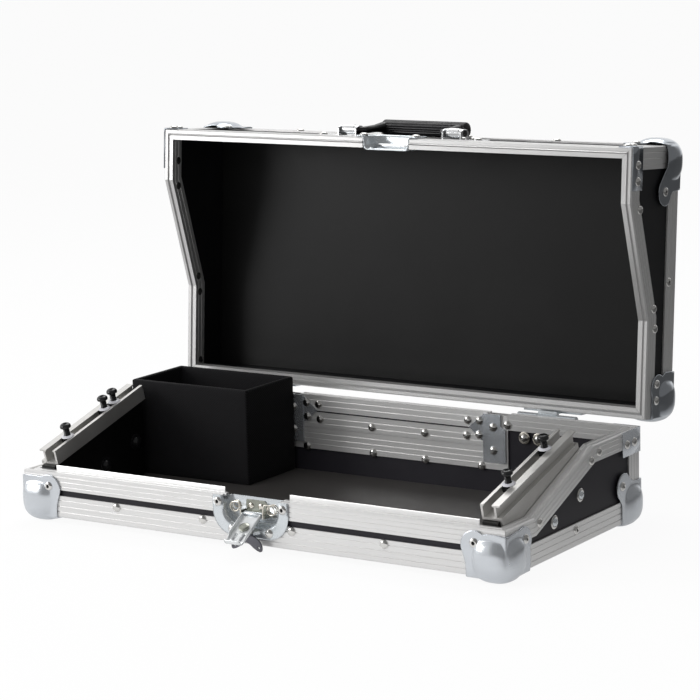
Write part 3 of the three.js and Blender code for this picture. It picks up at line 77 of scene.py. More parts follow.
def net(grid, round_u=False, round_v=False):
    """Quads between neighbours of a grid [u, v, xyz]; a round side joins its last row and first."""
    rows, columns = grid.shape[:2]
    u = np.arange(rows if round_u else rows - 1)
    v = np.arange(columns if round_v else columns - 1)
    a, b = np.meshgrid(u, v, indexing="ij")
    c, d = (a + 1) % rows, (b + 1) % columns
    quads = np.stack((a * columns + b, c * columns + b, c * columns + d, a * columns + d), -1)
    return grid.reshape(-1, 3), quads.reshape(-1, 4)


def masked(part, keep):
    """The same net without the quads whose middles the keep function turns down."""
    points, quads = part
    return points, quads[keep(points[quads].mean(axis=1))]


def gather(parts):
    """One list of points and quads from several nets."""
    starts = np.cumsum([0] + [len(points) for points, _ in parts[:-1]])
    points = np.concatenate([points for points, _ in parts])
    quads = np.concatenate([quads + start for (_, quads), start in zip(parts, starts)])
    return points, quads


def arc(middle, radii, angle):
    """Points of an ellipse in a plane: middle plus radii times the angle's cosine and sine."""
    (x, y), (a, b) = middle, radii
    return np.stack((x + a * np.cos(angle), y + b * np.sin(angle)), -1)


def lathe(profile, count=24):
    """Radius and height pairs carried round the z axis: x = r cos t, y = r sin t, z = height."""
    radius, height = np.transpose(profile)
    angle = (np.arange(count) * TAU / count)[:, None]
    return net(spread(np.cos(angle) * radius, np.sin(angle) * radius, height), round_u=True)


def unit(vectors):
    """Vectors divided by their own lengths."""
    return vectors / np.linalg.norm(vectors, axis=-1, keepdims=True)


def framed(part, origin, normal, across=(1, 0, 0)):
    """A part modelled round the z axis, stood at an origin with z along the normal."""
    w = unit(normal)
    u = across - np.dot(across, w) * w
    u = unit(u) if np.linalg.norm(u) > 0.1 else unit(np.cross((0, 1, 0), w))
    v = np.cross(w, u)
    points, quads = part
    return origin + points @ np.stack((u, v, w)), quads


def tube(path, radius, sides=12, side_hint=(0, 1, 0), flat=1.0, caps=True):
    """A ring of radius r carried along a path; each ring is square to the path's direction.

    The ring's first axis is the direction crossed with the hint, its second completes the pair,
    and flat squeezes the second. Caps close the ends on the path itself.
    """
    radius = np.broadcast_to(radius, len(path))
    along = unit(np.gradient(path, axis=0))
    first = unit(np.cross(along, side_hint))
    second = np.cross(along, first)
    angle = np.arange(sides) * TAU / sides
    ring = (np.cos(angle)[None, :, None] * first[:, None]
            + flat * np.sin(angle)[None, :, None] * second[:, None])
    grid = path[:, None] + radius[:, None, None] * ring
    if caps:
        ends = [np.repeat(path[k][None, None], sides, axis=1) for k in (0, -1)]
        grid = np.concatenate((ends[0], grid, ends[1]))
    return net(grid, round_v=True)


def smooth_path(points, count):
    """A Catmull-Rom line through the points, sampled evenly in its parameter."""
    p = np.array(points)
    p = np.concatenate((2 * p[:1] - p[1:2], p, 2 * p[-1:] - p[-2:-1]))
    t = np.linspace(0, len(p) - 3 - 1e-9, count)
    k = t.astype(int)
    f = (t - k)[:, None]
    a, b, c, d = p[k], p[k + 1], p[k + 2], p[k + 3]
    return 0.5 * (2 * b + (c - a) * f + (2 * a - 5 * b + 4 * c - d) * f**2
                  + (3 * b - a - 3 * c + d) * f**3)


def soft_max(a, b, width):
    """The larger of two fields, rounded over the width where they cross."""
    return (a + b + np.sqrt((a - b) ** 2 + width**2)) / 2


def ease(x):
    """Zero below nought, one above one, and the cubic 3x^2 - 2x^3 between."""
    x = np.clip(x, 0, 1)
    return x * x * (3 - 2 * x)


def plate(outline, depth_front, depth_back, bevel=0.3):
    """A flat closed plate in x and z: an outline round its middle, with slightly eased edges.

    The rings run middle, face, eased edge, edge, back edge, back middle.
    """
    outline = np.array(outline)
    middle = outline.mean(axis=0)
    inward = (middle - outline) / np.linalg.norm(middle - outline, axis=1)[:, None]
    step = math.copysign(bevel, depth_back - depth_front)
    rings = [(middle + 0 * outline, depth_front), (outline + bevel * inward, depth_front),
             (outline, depth_front + step), (outline, depth_back - step),
             (outline + bevel * inward, depth_back), (middle + 0 * outline, depth_back)]
    return net(np.stack([spread(r[:, 0], y, r[:, 1]) for r, y in rings]), round_v=True)


def box_part(low, high, ease_by=0.4):
    """A block with eased upright edges, as a plate with its outline in x and z."""
    (x0, y0, z0), (x1, y1, z1) = low, high
    corners = [(x0, z0, 1, 1), (x1, z0, -1, 1), (x1, z1, -1, -1), (x0, z1, 1, -1)]
    outline = []
    for k, (x, z, sx, sz) in enumerate(corners):
        cut = [(x + sx * ease_by, z), (x, z + sz * ease_by)]
        outline += cut[::-1] if k % 2 == 0 else cut
    return plate(outline, y0, y1, ease_by / 2)


# Materials
class Nodes:
    """A node tree being put together, with helpers that add a node and set or link its inputs."""

    def __init__(self, tree):
        self.nodes, self.links = tree.nodes, tree.links

    def add(self, kind, inputs=None, **settings):
        """A new node with its settings, and its inputs by name or number."""
        node = self.nodes.new(kind)
        for key, value in settings.items():
            setattr(node, key, value)
        for key, value in (inputs or {}).items():
            self.feed(node.inputs[key], value)
        return node

    def feed(self, socket, value):
        """Links another node's socket to this one, or gives it a plain value."""
        if isinstance(value, bpy.types.NodeSocket):
            self.links.new(value, socket)
        else:
            socket.default_value = value

    def band(self, value, low, high, to_low, to_high, **settings):
        """A value carried over from one range to another."""
        inputs = {"Value": value, "From Min": low, "From Max": high, "To Min": to_low,
                  "To Max": to_high}
        return self.add("ShaderNodeMapRange", inputs, **settings).outputs["Result"]

    def maths(self, operation, first, second=0.0):
        return self.add("ShaderNodeMath", {0: first, 1: second}, operation=operation).outputs[0]

    def mix(self, kind, factor, first, second):
        """A Mix node, RGBA or FLOAT, whose sockets are told apart by their identifiers."""
        node = self.add("ShaderNodeMix", data_type=kind)
        ending = "Color" if kind == "RGBA" else "Float"
        sockets = {s.identifier: s for s in (*node.inputs, *node.outputs)}
        self.feed(sockets["Factor_Float"], factor)
        self.feed(sockets[f"A_{ending}"], first)
        self.feed(sockets[f"B_{ending}"], second)
        return sockets[f"Result_{ending}"]


class Recipe(Nodes):
    """A procedural material: a shader with a colour, a roughness and a share of metal."""

    def __init__(self, name, colour, rough, metal=0.0):
        self.material = bpy.data.materials.new(name)
        self.material.use_nodes = True
        super().__init__(self.material.node_tree)
        self.shader = self.nodes["Principled BSDF"]
        self.set("Base Color", (*colour, 1))
        self.set("Roughness", rough)
        self.set("Metallic", metal)
        self.place = self.add("ShaderNodeTexCoord").outputs["Object"]

    def set(self, socket, value):
        self.feed(self.shader.inputs[socket], value)

    def scaled(self, scale, turn=(0, 0, 0)):
        inputs = {"Vector": self.place, "Scale": scale, "Rotation": turn}
        return self.add("ShaderNodeMapping", inputs).outputs["Vector"]

    def noise(self, scale, detail=3.0, vector=None, rough=0.5):
        inputs = {"Vector": vector or self.place, "Scale": scale, "Detail": detail}
        inputs["Roughness"] = rough
        return self.add("ShaderNodeTexNoise", inputs).outputs["Fac"]

    def blend(self, factor, first, second):
        return self.mix("RGBA", factor, (*first, 1), (*second, 1))

    def tint(self, value, low, high, first, second, most=1):
        """Colours from a first to a second as a value runs from low to high."""
        self.set("Base Color", self.blend(self.band(value, low, high, 0, most), first, second))

    def bump(self, height, strength, distance):
        inputs = {"Height": height, "Strength": strength, "Distance": distance}
        self.set("Normal", self.add("ShaderNodeBump", inputs).outputs["Normal"])


def extruded_aluminium(name, side_turn, shade=1.0):
    """Bright drawn aluminium: die lines run along each length, so they turn at the side walls.

    side_turn is which axis the lines follow on the side walls, 1 for y and 2 for z. shade darkens
    the metal as a whole, as painted shade for a copy that gets less light.
    """
    tones = ((0.755, 0.75, 0.745), (0.80, 0.795, 0.79))
    dull, clean = (tuple(shade * c for c in tone) for tone in tones)
    r = Recipe(name, clean, 0.3, 0.7)
    fine, long, side_wall = 1900.0, 5.0, 0.2455
    front_lines = r.noise(1.0, 2.0, r.scaled((long, fine, fine)))
    side_scale = tuple(long if axis == side_turn else fine for axis in range(3))
    side_lines = r.noise(1.0, 2.0, r.scaled(side_scale))
    split = r.add("ShaderNodeSeparateXYZ", {"Vector": r.place})
    on_side = r.maths("GREATER_THAN", r.maths("ABSOLUTE", split.outputs["X"]), side_wall)
    streak = r.mix("FLOAT", on_side, front_lines, side_lines)
    handling = r.noise(28.0, 4.0)
    r.tint(streak, 0.3, 0.7, dull, clean)
    touched = r.band(handling, 0.35, 0.7, 0.0, 0.04)
    r.set("Roughness", r.maths("ADD", r.band(streak, 0.3, 0.7, 0.29, 0.32), touched))
    r.bump(streak, 0.02, 0.0002)
    return r.material


def black_laminate(name, colour, sheen_rough):
    """Phenolic-faced board: near black, very fine orange-peel grain, a few dusty, duller clouds."""
    r = Recipe(name, colour, sheen_rough)
    grain = r.noise(2600.0, 2.0)
    cloud = r.noise(9.0, 5.0, rough=0.6)
    dusty = tuple(c * 1.6 + 0.003 for c in colour)
    r.tint(cloud, 0.45, 0.8, colour, dusty, 0.6)
    r.set("Roughness", r.band(cloud, 0.3, 0.75, sheen_rough - 0.03, sheen_rough + 0.08))
    r.set("Specular IOR Level", 0.22)
    r.bump(grain, 0.10, 0.0003)
    return r.material


def plated(name, colour, rough, mottle=0.12, scale=70.0, metal=1.0):
    """Zinc-plated or chromed steel: slightly cloudy colour and roughness, faint rolling marks."""
    r = Recipe(name, colour, rough, metal)
    cloud = r.noise(scale, 2.5, rough=0.5)
    dark = tuple(c * (1 - mottle) for c in colour)
    r.tint(cloud, 0.35, 0.7, dark, colour)
    r.set("Roughness", r.band(cloud, 0.3, 0.75, rough * 0.8, rough * 1.25))
    r.bump(r.noise(scale * 3, 2.0), 0.03, 0.0003)
    return r.material


def black_plastic(name, colour=(0.012, 0.012, 0.013), rough=0.28):
    """Moulded black plastic: a fine spark-eroded grain and slightly uneven gloss."""
    r = Recipe(name, colour, rough)
    r.set("Roughness", r.band(r.noise(120.0, 4.0), 0.3, 0.7, rough * 0.75, rough * 1.4))
    r.bump(r.noise(1500.0, 2.0), 0.08, 0.0003)
    return r.material


def ribbed_cloth(name):
    """Black lining cloth: fine diagonal ribs under a millimetre apart, broken by fibre noise."""
    r = Recipe(name, (0.012, 0.012, 0.014), 0.85)
    wave = r.add("ShaderNodeTexWave", {
        "Vector": r.scaled((1, 1, 1), (0, math.radians(38), math.radians(20))),
        "Scale": 210.0, "Distortion": 1.2, "Detail": 2.0, "Detail Scale": 3.0,
    }, wave_type="BANDS", bands_direction="X", wave_profile="SIN").outputs["Fac"]
    fibre = r.noise(1900.0, 3.0)
    mix = r.maths("ADD", r.maths("MULTIPLY", wave, 0.6), r.maths("MULTIPLY", fibre, 0.5))
    # Colour runs from a dark groove to a lighter rib: the darker grooves are painted shade between
    # the ribs, and the fibre noise is the cloth's own uneven tone.
    groove, rib = (0.0025, 0.0025, 0.003), (0.011, 0.0105, 0.012)
    r.tint(mix, 0.3, 0.8, groove, rib)
    r.set("Sheen Weight", 0.06)
    r.set("Sheen Roughness", 0.4)
    r.set("Specular IOR Level", 0.25)
    r.bump(mix, 0.35, 0.0004)
    return r.material


METAL_BASE = extruded_aluminium("drawn_aluminium_base", 1)
# The lid's and the rear rim's copies are the same aluminium darkened as painted shade, where less
# light falls or less is mirrored; the lid's die lines also turn up its side walls.
METAL_LID = extruded_aluminium("drawn_aluminium_lid", 2, 0.78)
METAL_REAR_RIM = extruded_aluminium("drawn_aluminium_rear_rim", 1, 0.80)
METAL_RAIL = plated("rail_aluminium", (0.66, 0.65, 0.63), 0.36, 0.06, 40.0, 0.72)
LAMINATE = black_laminate("charcoal_laminate", (0.017, 0.016, 0.020), 0.42)
# The lid's boards and the inner boards are the case's laminate painted darker, as painted shade for
# faces that get less light.
LAMINATE_LID_SHADED = black_laminate("lid_laminate", (0.006, 0.006, 0.007), 0.42)
LAMINATE_INSIDE_SHADED = black_laminate("inner_laminate", (0.004, 0.004, 0.004), 0.36)
LAMINATE_FLOOR = black_laminate("floor_laminate", (0.052, 0.049, 0.047), 0.40)
ZINC = plated("zinc_plate", (0.70, 0.73, 0.77), 0.24, 0.07, 45.0, 0.84)
# The lid's corners and front braces take a darker copy of the corner metal: its low roughness is
# their mirror finish, and its darker colour is painted shade for corners that mirror a dim room.
SHADED_CHROME = plated("lid_corner_chrome", (0.50, 0.53, 0.57), 0.13, 0.05, 45.0)
BRIGHT_ZINC = plated("bright_zinc", (0.74, 0.78, 0.81), 0.24, 0.04, 60.0, 0.85)
ARM_STEEL = plated("arm_steel", (0.80, 0.82, 0.83), 0.24, 0.04, 80.0, 0.55)
CHROME = plated("bright_chrome", (0.86, 0.87, 0.88), 0.10, 0.05, 50.0)
RIVET_METAL = plated("rivet_nickel", (0.78, 0.77, 0.75), 0.14, 0.10, 300.0)
DARK_STEEL = plated("dark_steel", (0.17, 0.17, 0.19), 0.34, 0.2, 120.0)
BRASSY = plated("passivated_wire", (0.80, 0.76, 0.68), 0.16, 0.08, 200.0)
OLIVE = plated("olive_passivate", (0.40, 0.41, 0.36), 0.30, 0.2, 120.0)
BLACK_SCREW = black_plastic("black_screw", (0.010, 0.010, 0.011), 0.22)
# Not plastic: a near-black painted shade for the hollows of the holed rivets, made with the plastic
# recipe.
HOLE_SHADE = black_plastic("mandrel_hole_painted_shade", (0.004, 0.004, 0.004), 0.6)
CUP_WHITE = black_plastic("clear_cup_washer", (0.62, 0.62, 0.66), 0.25)
GRIP_BLACK = black_plastic("grip_plastic", (0.010, 0.010, 0.011), 0.20)
BOX_CLOTH = ribbed_cloth("lining_cloth")


# Pieces; points nearer to each other than WELD, in metres, are joined
WELD = 2e-6


def piece(name, parts, finishes, body, swaps=(), wall=0.0, facing=None, sharp=38.0,
          index=None, even=True):
    """Puts nets together as one mesh object, places it in the row's frame and hangs it on a body.

    Pieces of the lid and the handle are turned back with the open lid. facing turns an open sheet
    so that its mean normal points that way; a closed shape has its normals worked out instead.
    wall gives a sheet its thickness behind the face.
    """
    points, quads = gather(parts)
    finishes = finishes if isinstance(finishes, (list, tuple)) else [finishes]
    mesh = bpy.data.meshes.new(name)
    turned_back = body in ("lid", "handle")
    mesh.from_pydata((row_lid if turned_back else row_base)(points), [], quads.tolist())
    for material in finishes:
        mesh.materials.append(material)
    if index is not None:
        mesh.polygons.foreach_set("material_index", np.concatenate(index).astype(np.int32))
    work = bmesh.new()
    work.from_mesh(mesh)
    bmesh.ops.remove_doubles(work, verts=work.verts, dist=WELD)
    bmesh.ops.dissolve_degenerate(work, edges=work.edges, dist=WELD)
    if facing is None:
        bmesh.ops.recalc_face_normals(work, faces=work.faces)
    else:
        mean = sum((f.normal * f.calc_area() for f in work.faces), Vector())
        wanted = turn_x(facing, LID_TURN) if turned_back else facing
        if mean.dot(Vector(wanted)) < 0:
            bmesh.ops.reverse_faces(work, faces=work.faces)
    work.to_mesh(mesh)
    work.free()
    mesh.shade_smooth()
    mesh.set_sharp_from_angle(angle=math.radians(sharp))
    item = bpy.data.objects.new(name, mesh)
    bpy.context.scene.collection.objects.link(item)
    if wall:
        solid = item.modifiers.new("wall", "SOLIDIFY")
        solid.thickness = wall * MM
        solid.offset = -1
        solid.use_even_offset = even
        solid.use_quality_normals = even
    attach(item, body)
    if swaps:
        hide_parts(*swaps)


SIDES = (("left", -1), ("right", 1))
PLACES = (("front", 0), ("rear", 1))


def pair(stem):
    """The names of a left and a right solid."""
    return [f"{stem}_{label}" for label, _ in SIDES]


def walls(body):
    """The names of a body's four upright panels."""
    return [f"{body}_{wall}_panel" for wall in ("front", "rear", "left", "right")]


# Finishes of the solids that stay in sight
FINISHES = (
    (LAMINATE, walls("base") + ["flap_board"]),
    (LAMINATE_LID_SHADED, walls("lid")),
    (LAMINATE_INSIDE_SHADED, pair("rail_board") + ["lid_top_panel"]),
    (LAMINATE_FLOOR, ["base_floor_panel"]),
    (METAL_REAR_RIM, pair("base_rear_rim")),
    (METAL_BASE, pair("base_front_rim") + ["base_edge_frame", "base_left_rim", "base_right_rim"]),
    (METAL_BASE, ["hatch_edging", "flap_edging"]),
    (METAL_LID, pair("lid_front_rim") + ["lid_edge_frame", "lid_rear_rim"]),
    (METAL_LID, ["lid_left_rim", "lid_right_rim"]),
    (METAL_RAIL, pair("rack_rail")),
    (ZINC, pair("flap_stop_plate")),
    (BRIGHT_ZINC, pair("base_hinge_leaf") + pair("lid_hinge_leaf")),
)
for material, names in FINISHES:
    for name in names:
        mesh = NODES[name].data
        mesh.materials.clear()
        mesh.materials.append(material)


# Ball corners: legs along x, y and z for the front and rear, and the middles of the rounded ears
CORNER_FACE = 1.5
LOBE_RADIUS = 13.0
CORNER_LEGS = {("base", 0): (38.5, 40.0, 37.5), ("base", 1): (38.5, 36.0, 36.0),
               ("lid", 0): (38.5, 41.6, 28.6), ("lid", 1): (38.5, 40.0, 44.0)}
LOBE_CENTRES = (29.4, 29.0, 26.5)
SIDE_LOBES = {("base", 0): (29.0, 26.5), ("base", 1): (33.0, 33.5),
              ("lid", 0): (41.5, 29.6), ("lid", 1): (26.5, 32.0)}
BALL_CENTRE = 15.0
BALL_RADIUS = 21.7
BALL_POWER = 2.6
BALL_FILLET = 0.7
VALLEY_DEPTH, VALLEY_WIDTH, VALLEY_END, VALLEY_FADE = 0.8, 0.14, 0.1, 0.8
CREASE_FROM, CREASE_EASE = 0.88, 0.03
VERTEX_FROM, VERTEX_EASE = 0.1, 0.2
EDGE_COUNT = 22
RING_COUNT, RING_CROWDING = 30, 0.9
EAR_SWEEP = (-38, 118)
EAR_RISE, EAR_FALL = ((0.0, 0.40), (0.2, 0.55)), ((0.52, 0.1), (0.30, -0.9))


def cut_corners(line, times):
    """Chaikin's rule: each stretch becomes the points a quarter and three quarters along it."""
    for _ in range(times):
        near = 0.75 * line[:-1] + 0.25 * line[1:]
        far = 0.25 * line[:-1] + 0.75 * line[1:]
        line = np.concatenate((line[:1], np.stack((near, far), 1).reshape(-1, 2)[1:-1], line[-1:]))
    return line


def ear_border(leg_u, leg_v, lobe_u, lobe_v):
    """Outline of one pressed face, from the vertex and back to it.

    It runs along one crease, up the straight end, round the ear and down an S to the other crease.
    """
    start = -CORNER_FACE
    along_u = np.stack((np.linspace(start, leg_u, EDGE_COUNT), np.full(EDGE_COUNT, start)), -1)
    angle = np.radians(np.linspace(*EAR_SWEEP, 22))
    ear = arc((lobe_u, lobe_v), (LOBE_RADIUS, LOBE_RADIUS), angle)
    rise = [(leg_u + out, lobe_v * share) for out, share in EAR_RISE]
    fall = [(lobe_u * share, leg_v + out) for share, out in EAR_FALL]
    line = np.concatenate(([(leg_u, start)], rise, ear, fall, [(start, leg_v - 1.0)]))
    outer = cut_corners(line, 2)
    outer[-1] = (start, leg_v)
    along_v = np.stack((np.full(EDGE_COUNT, start), np.linspace(leg_v, start, EDGE_COUNT)), -1)
    return np.concatenate((along_u[:-1], outer[:-1], along_v[:-1]))


def corner_patch(border):
    """Rays from the ball's middle through a plane grid, each carried to the bulging skin.

    The grid runs from the dome's middle to the border. A ray's reach is the larger of the flat
    plate's and the ball's, whose power-law norm is the ball radius, rounded where they meet. A
    shallow valley runs down the ball from each crease and dies out towards the vertex. The plate is
    eased along the creases and drawn in at the vertex.
    """
    share = np.linspace(0, 1, RING_COUNT) ** RING_CROWDING
    flat = CORNER_FACE + BALL_CENTRE
    s = (border[None] - BALL_CENTRE) / flat * share[:, None, None]
    a, b = s[..., 0], s[..., 1]
    ball = BALL_RADIUS / (1 + np.abs(a) ** BALL_POWER + np.abs(b) ** BALL_POWER) ** (1 / BALL_POWER)
    second, third = np.maximum(-a, -b), np.minimum(-a, -b)
    fade = ease(1 - (third + VALLEY_END) / VALLEY_FADE)
    ball -= VALLEY_DEPTH * np.exp(-((1 - second) / VALLEY_WIDTH) ** 2) * fade
    crease = ease((second - CREASE_FROM) / (1 - CREASE_FROM))
    vertex = ease((third - VERTEX_FROM) / (1 - VERTEX_FROM))
    reach = flat * (1 - CREASE_EASE * crease**2 - VERTEX_EASE * vertex)
    reach = soft_max(ball, reach, BALL_FILLET) - BALL_FILLET**2 / (4 * (flat + 8))
    return np.stack((BALL_CENTRE - reach, BALL_CENTRE + reach * a, BALL_CENTRE + reach * b), -1)


def ball_corner(kind, side, rear, top):
    """Three patches about the three edges of a case corner; top is the lid's level or nought."""
    legs = CORNER_LEGS[kind, rear]
    tip = np.array((side * HALF_WIDTH, rear * DEPTH, top))
    inward = np.array((-side, 1 - 2 * rear, -1 if top else 1), float)
    parts = []
    for k in range(3):
        m, n = (k + 1) % 3, (k + 2) % 3
        lobe = SIDE_LOBES[kind, rear] if k == 0 else (LOBE_CENTRES[m], LOBE_CENTRES[n])
        border = ear_border(legs[m], legs[n], *lobe)
        patch = corner_patch(border)
        grid = np.empty_like(patch)
        grid[..., k], grid[..., m], grid[..., n] = patch[..., 0], patch[..., 1], patch[..., 2]
        parts.append(net(tip + grid * inward, round_v=True))
    return [oriented(part, tip + inward * BALL_CENTRE) for part in parts], -inward


def oriented(part, middle):
    """Turns each quad so that it looks away from a middle point."""
    points, quads = part
    a, b, c, d = (points[quads[:, k]] for k in range(4))
    normal = np.cross(c - a, d - b)
    away = (a + b + c + d) / 4 - middle
    inside_out = np.einsum("ij,ij->i", normal, away) < 0
    quads = quads.copy()
    quads[inside_out] = quads[inside_out][:, ::-1]
    return points, quads


for body, level in (("base", 0.0), ("lid", CLOSED_HEIGHT)):
    for label, side in SIDES:
        for place, rear in PLACES:
            parts, outward = ball_corner(body, side, rear, level)
            finish = SHADED_CHROME if body == "lid" else ZINC
            piece(f"{body}_pressed_corner_{place}_{label}", parts, finish, body,
                  [f"{body}_ball_corner_{place}_{label}"], wall=1.2, facing=outward, sharp=55)

# Tongues behind the front rim, which slip inside the lid's rim when it is shut
TONGUE = [(10.3, 34.0), (10.3, 45.7), (10.55, 46.2), (11.0, 46.4), (11.45, 46.2), (11.7, 45.7),
          (11.7, 34.0), (11.0, 33.8)]
TONGUE_STATIONS = (34.6, 34.6, 60.0, 110.0, 160.0, 225.6, 225.6)


def tongue(side):
    """The tongue's round-topped profile in y and z carried along x, closed at both ends."""
    y, z = np.array(TONGUE).T
    x = np.array(TONGUE_STATIONS) * side
    grid = spread(x[:, None], y, z)
    for end in (0, -1):
        grid[end] = grid[end].mean(axis=0)
    return net(grid, round_v=True)


for label, side in SIDES:
    piece(f"front_rim_tongue_{label}", [tongue(side)], METAL_BASE, "base")

# Rivets and bolts, as radius and height from the rim inwards
HOLED_RIVET = [(4.3, 0.0), (4.2, 0.5), (3.6, 1.15), (2.6, 1.6), (1.7, 1.6), (1.35, 1.1), (1.2, 0.2),
               (0, 0.2)]
DOME_RIVET = [(4.2, 0.0), (4.1, 0.6), (3.5, 1.4), (2.4, 1.95), (1.1, 2.15), (0, 2.2)]
LOW_RIVET = [(3.7, 0.0), (3.6, 0.1), (2.6, 0.2), (1.2, 0.25), (0, 0.25)]
CUP_BOLT = [(6.2, 0.0), (6.1, 0.9), (5.5, 1.4), (4.7, 1.5), (4.1, 0.9), (3.8, 0.7), (3.7, 1.6),
            (3.1, 2.6), (1.8, 3.2), (0, 3.35)]
BLACK_BOLT = [(8.4, 0.0), (8.3, 0.8), (7.2, 1.1), (5.6, 1.1), (5.3, 2.2), (4.3, 3.6), (2.4, 4.4),
              (0, 4.6)]


def studs(name, kind, places, body="base", finishes=(RIVET_METAL,), dark_from=None, count=16):
    """Copies of one turned head at many places; each place holds a point and the way it looks out.

    From the profile's step dark_from inwards the head takes the second finish.
    """
    parts = [framed(lathe(kind, count), spot, normal) for spot, normal in places]
    steps = np.arange(len(kind) - 1)
    tone = np.zeros(len(steps), int) if dark_from is None else (steps >= dark_from).astype(int)
    piece(name, parts, finishes, body, index=[np.tile(tone, count)] * len(parts))


def mirrored(spots):
    """Each spot and its twin on the other side of the case."""
    return [((sign * x, y, z), (sign * nx, ny, nz))
            for (x, y, z), (nx, ny, nz) in spots for sign in (1, -1)]


FRONT, BACK, RIGHT, IN = (0, -1, 0), (0, 1, 0), (1, 0, 0), (-1, 0, 0)
UP, DOWN = (0, 0, 1), (0, 0, -1)


def on_sides(spots, out=0.0, look=RIGHT):
    """Heads on both sides of the case at spots in y and z, a distance out from the side faces."""
    return mirrored([((HALF_WIDTH + out, y, z), look) for y, z in spots])


def on_wall(y, spots, look=FRONT):
    """Heads on a wall that stands across the case, at spots in x and z."""
    return [((x, y, z), look) for x, z in spots]


TOP = CLOSED_HEIGHT
EAR = CORNER_FACE + 0.1
EAR_ACROSS = HALF_WIDTH - 29.4
ENDS = ((-EAR, FRONT), (DEPTH + EAR, BACK))
BOTH_EARS = (30.0, DEPTH - 30.0)
base_holed = mirrored([((EAR_ACROSS, y, 28.8), look) for y, look in ENDS])
base_holed += on_sides([(31.8, 28.3), (DEPTH - 36.5, 35.0)], EAR) + on_sides([(124.4, 14.7)])
lid_holed = mirrored([((EAR_ACROSS, y, TOP - 28.8), look) for y, look in ENDS])
lid_holed += on_sides([(41.5, TOP - 30.0)], EAR) + on_sides([(124.4, TOP - 14.7)])
under_ears = mirrored([((EAR_ACROSS, y, -EAR), DOWN) for y in BOTH_EARS])
over_ears = mirrored([((EAR_ACROSS, y, TOP + EAR), UP) for y in BOTH_EARS])

EDGE_SPOTS = (-149.2, -52.8, 42.5, 137.3)
INNER_FACE, REAR_WALL, GUSSET_FACE = -10.1, 236.9, 236.0
base_domes = on_wall(0, [(x, 16.8) for x in EDGE_SPOTS])
base_domes += on_wall(DEPTH, [(x, 14.7) for x in EDGE_SPOTS], BACK)
base_domes += on_sides([(153.9, 69.9), (168.2, 75.1), (58.6, 35.8)])
base_domes += on_sides([(58.6, 36.5), (153.9, 71.0)], INNER_FACE, IN)
base_domes += on_wall(REAR_WALL, [(-22.7, 57.5), (36.3, 57.8), (-21.8, 32.7), (36.3, 32.2),
                                  (83.5, 74.6), (82.0, 60.0), (-83.5, 74.6), (-82.0, 60.0),
                                  (125.6, 73.7), (-125.6, 73.7)])
base_domes += on_wall(GUSSET_FACE, [(96.6, 75.4), (96.0, 62.0), (-96.6, 75.4), (-96.0, 62.0)])
base_domes += on_wall(REAR_WALL, [(97.6, 32.4), (-97.6, 32.4)])
lid_domes = on_wall(0, [(x, TOP - 14.7) for x in EDGE_SPOTS])
lid_domes += on_wall(DEPTH, [(x, TOP - 14.7) for x in EDGE_SPOTS], BACK)
lid_domes += on_sides([(56.0, 60.0), (146.8, 93.4), (165.2, 96.7)])
lid_domes += on_sides([(DEPTH - 31.0, TOP - 36.0), (DEPTH - 16.0, TOP - 36.0)], EAR)
lid_low_heads = on_sides([(31.2, 52.1), (55.9, 52.6), (147.6, 87.7), (163.4, 90.4), (232.6, 92.6)],
                         INNER_FACE, IN)

# The holed rivets' hollows take the painted shade as their second finish.
HOLED = (RIVET_METAL, HOLE_SHADE)
HOLE_FROM = 5
studs("base_holed_rivets", HOLED_RIVET, base_holed, "base", HOLED, HOLE_FROM)
studs("lid_holed_rivets", HOLED_RIVET, lid_holed, "lid", HOLED, HOLE_FROM)
studs("base_under_rivets", DOME_RIVET, under_ears)
studs("lid_over_rivets", DOME_RIVET, over_ears, "lid")
studs("base_dome_rivets", DOME_RIVET, base_domes)
studs("lid_low_rivets", LOW_RIVET, lid_low_heads, "lid")
studs("lid_dome_rivets", DOME_RIVET, lid_domes, "lid")

BOARD_BOLTS = ((135.0, 43.5), (87.0, 30.0))
studs("side_cup_bolts", CUP_BOLT, on_sides(BOARD_BOLTS, -1.8), "base",
      (RIVET_METAL, BRIGHT_ZINC), HOLE_FROM, 24)
studs("board_black_bolts", BLACK_BOLT, on_sides(BOARD_BOLTS, -27.5, IN), "base",
      (BLACK_SCREW,), count=24)


# Latch dish, keeper and their parts
def u_outline(half, floor, top, radius):
    """Open outline: down one straight side, round two quarter ellipses and up the other side."""
    down = math.copysign(radius, top - floor)
    angle = np.linspace(0, TAU / 4, 14)
    left = np.stack((-half + radius * (1 - np.cos(angle)), floor + down * (1 - np.sin(angle))), -1)
    right = left[::-1] * (-1, 1)
    middle = np.linspace(left[-1], right[0], 12)[1:-1]
    return np.concatenate(([(-half, top)], left, middle, right, [(half, top)]))


def pressed_dish(rings, top):
    """Skin lofted through a row of U outlines, each at its own depth, then closed straight up.

    A ring is half width, floor, radius and depth; the last stretch joins the innermost U to
    its own level on the open side.
    """
    grid = [np.insert(u_outline(half, floor, top, radius), 1, depth, axis=1)
            for half, floor, radius, depth in rings]
    last = grid[-1].copy()
    last[:, 2] = top
    return np.stack(grid + [last])


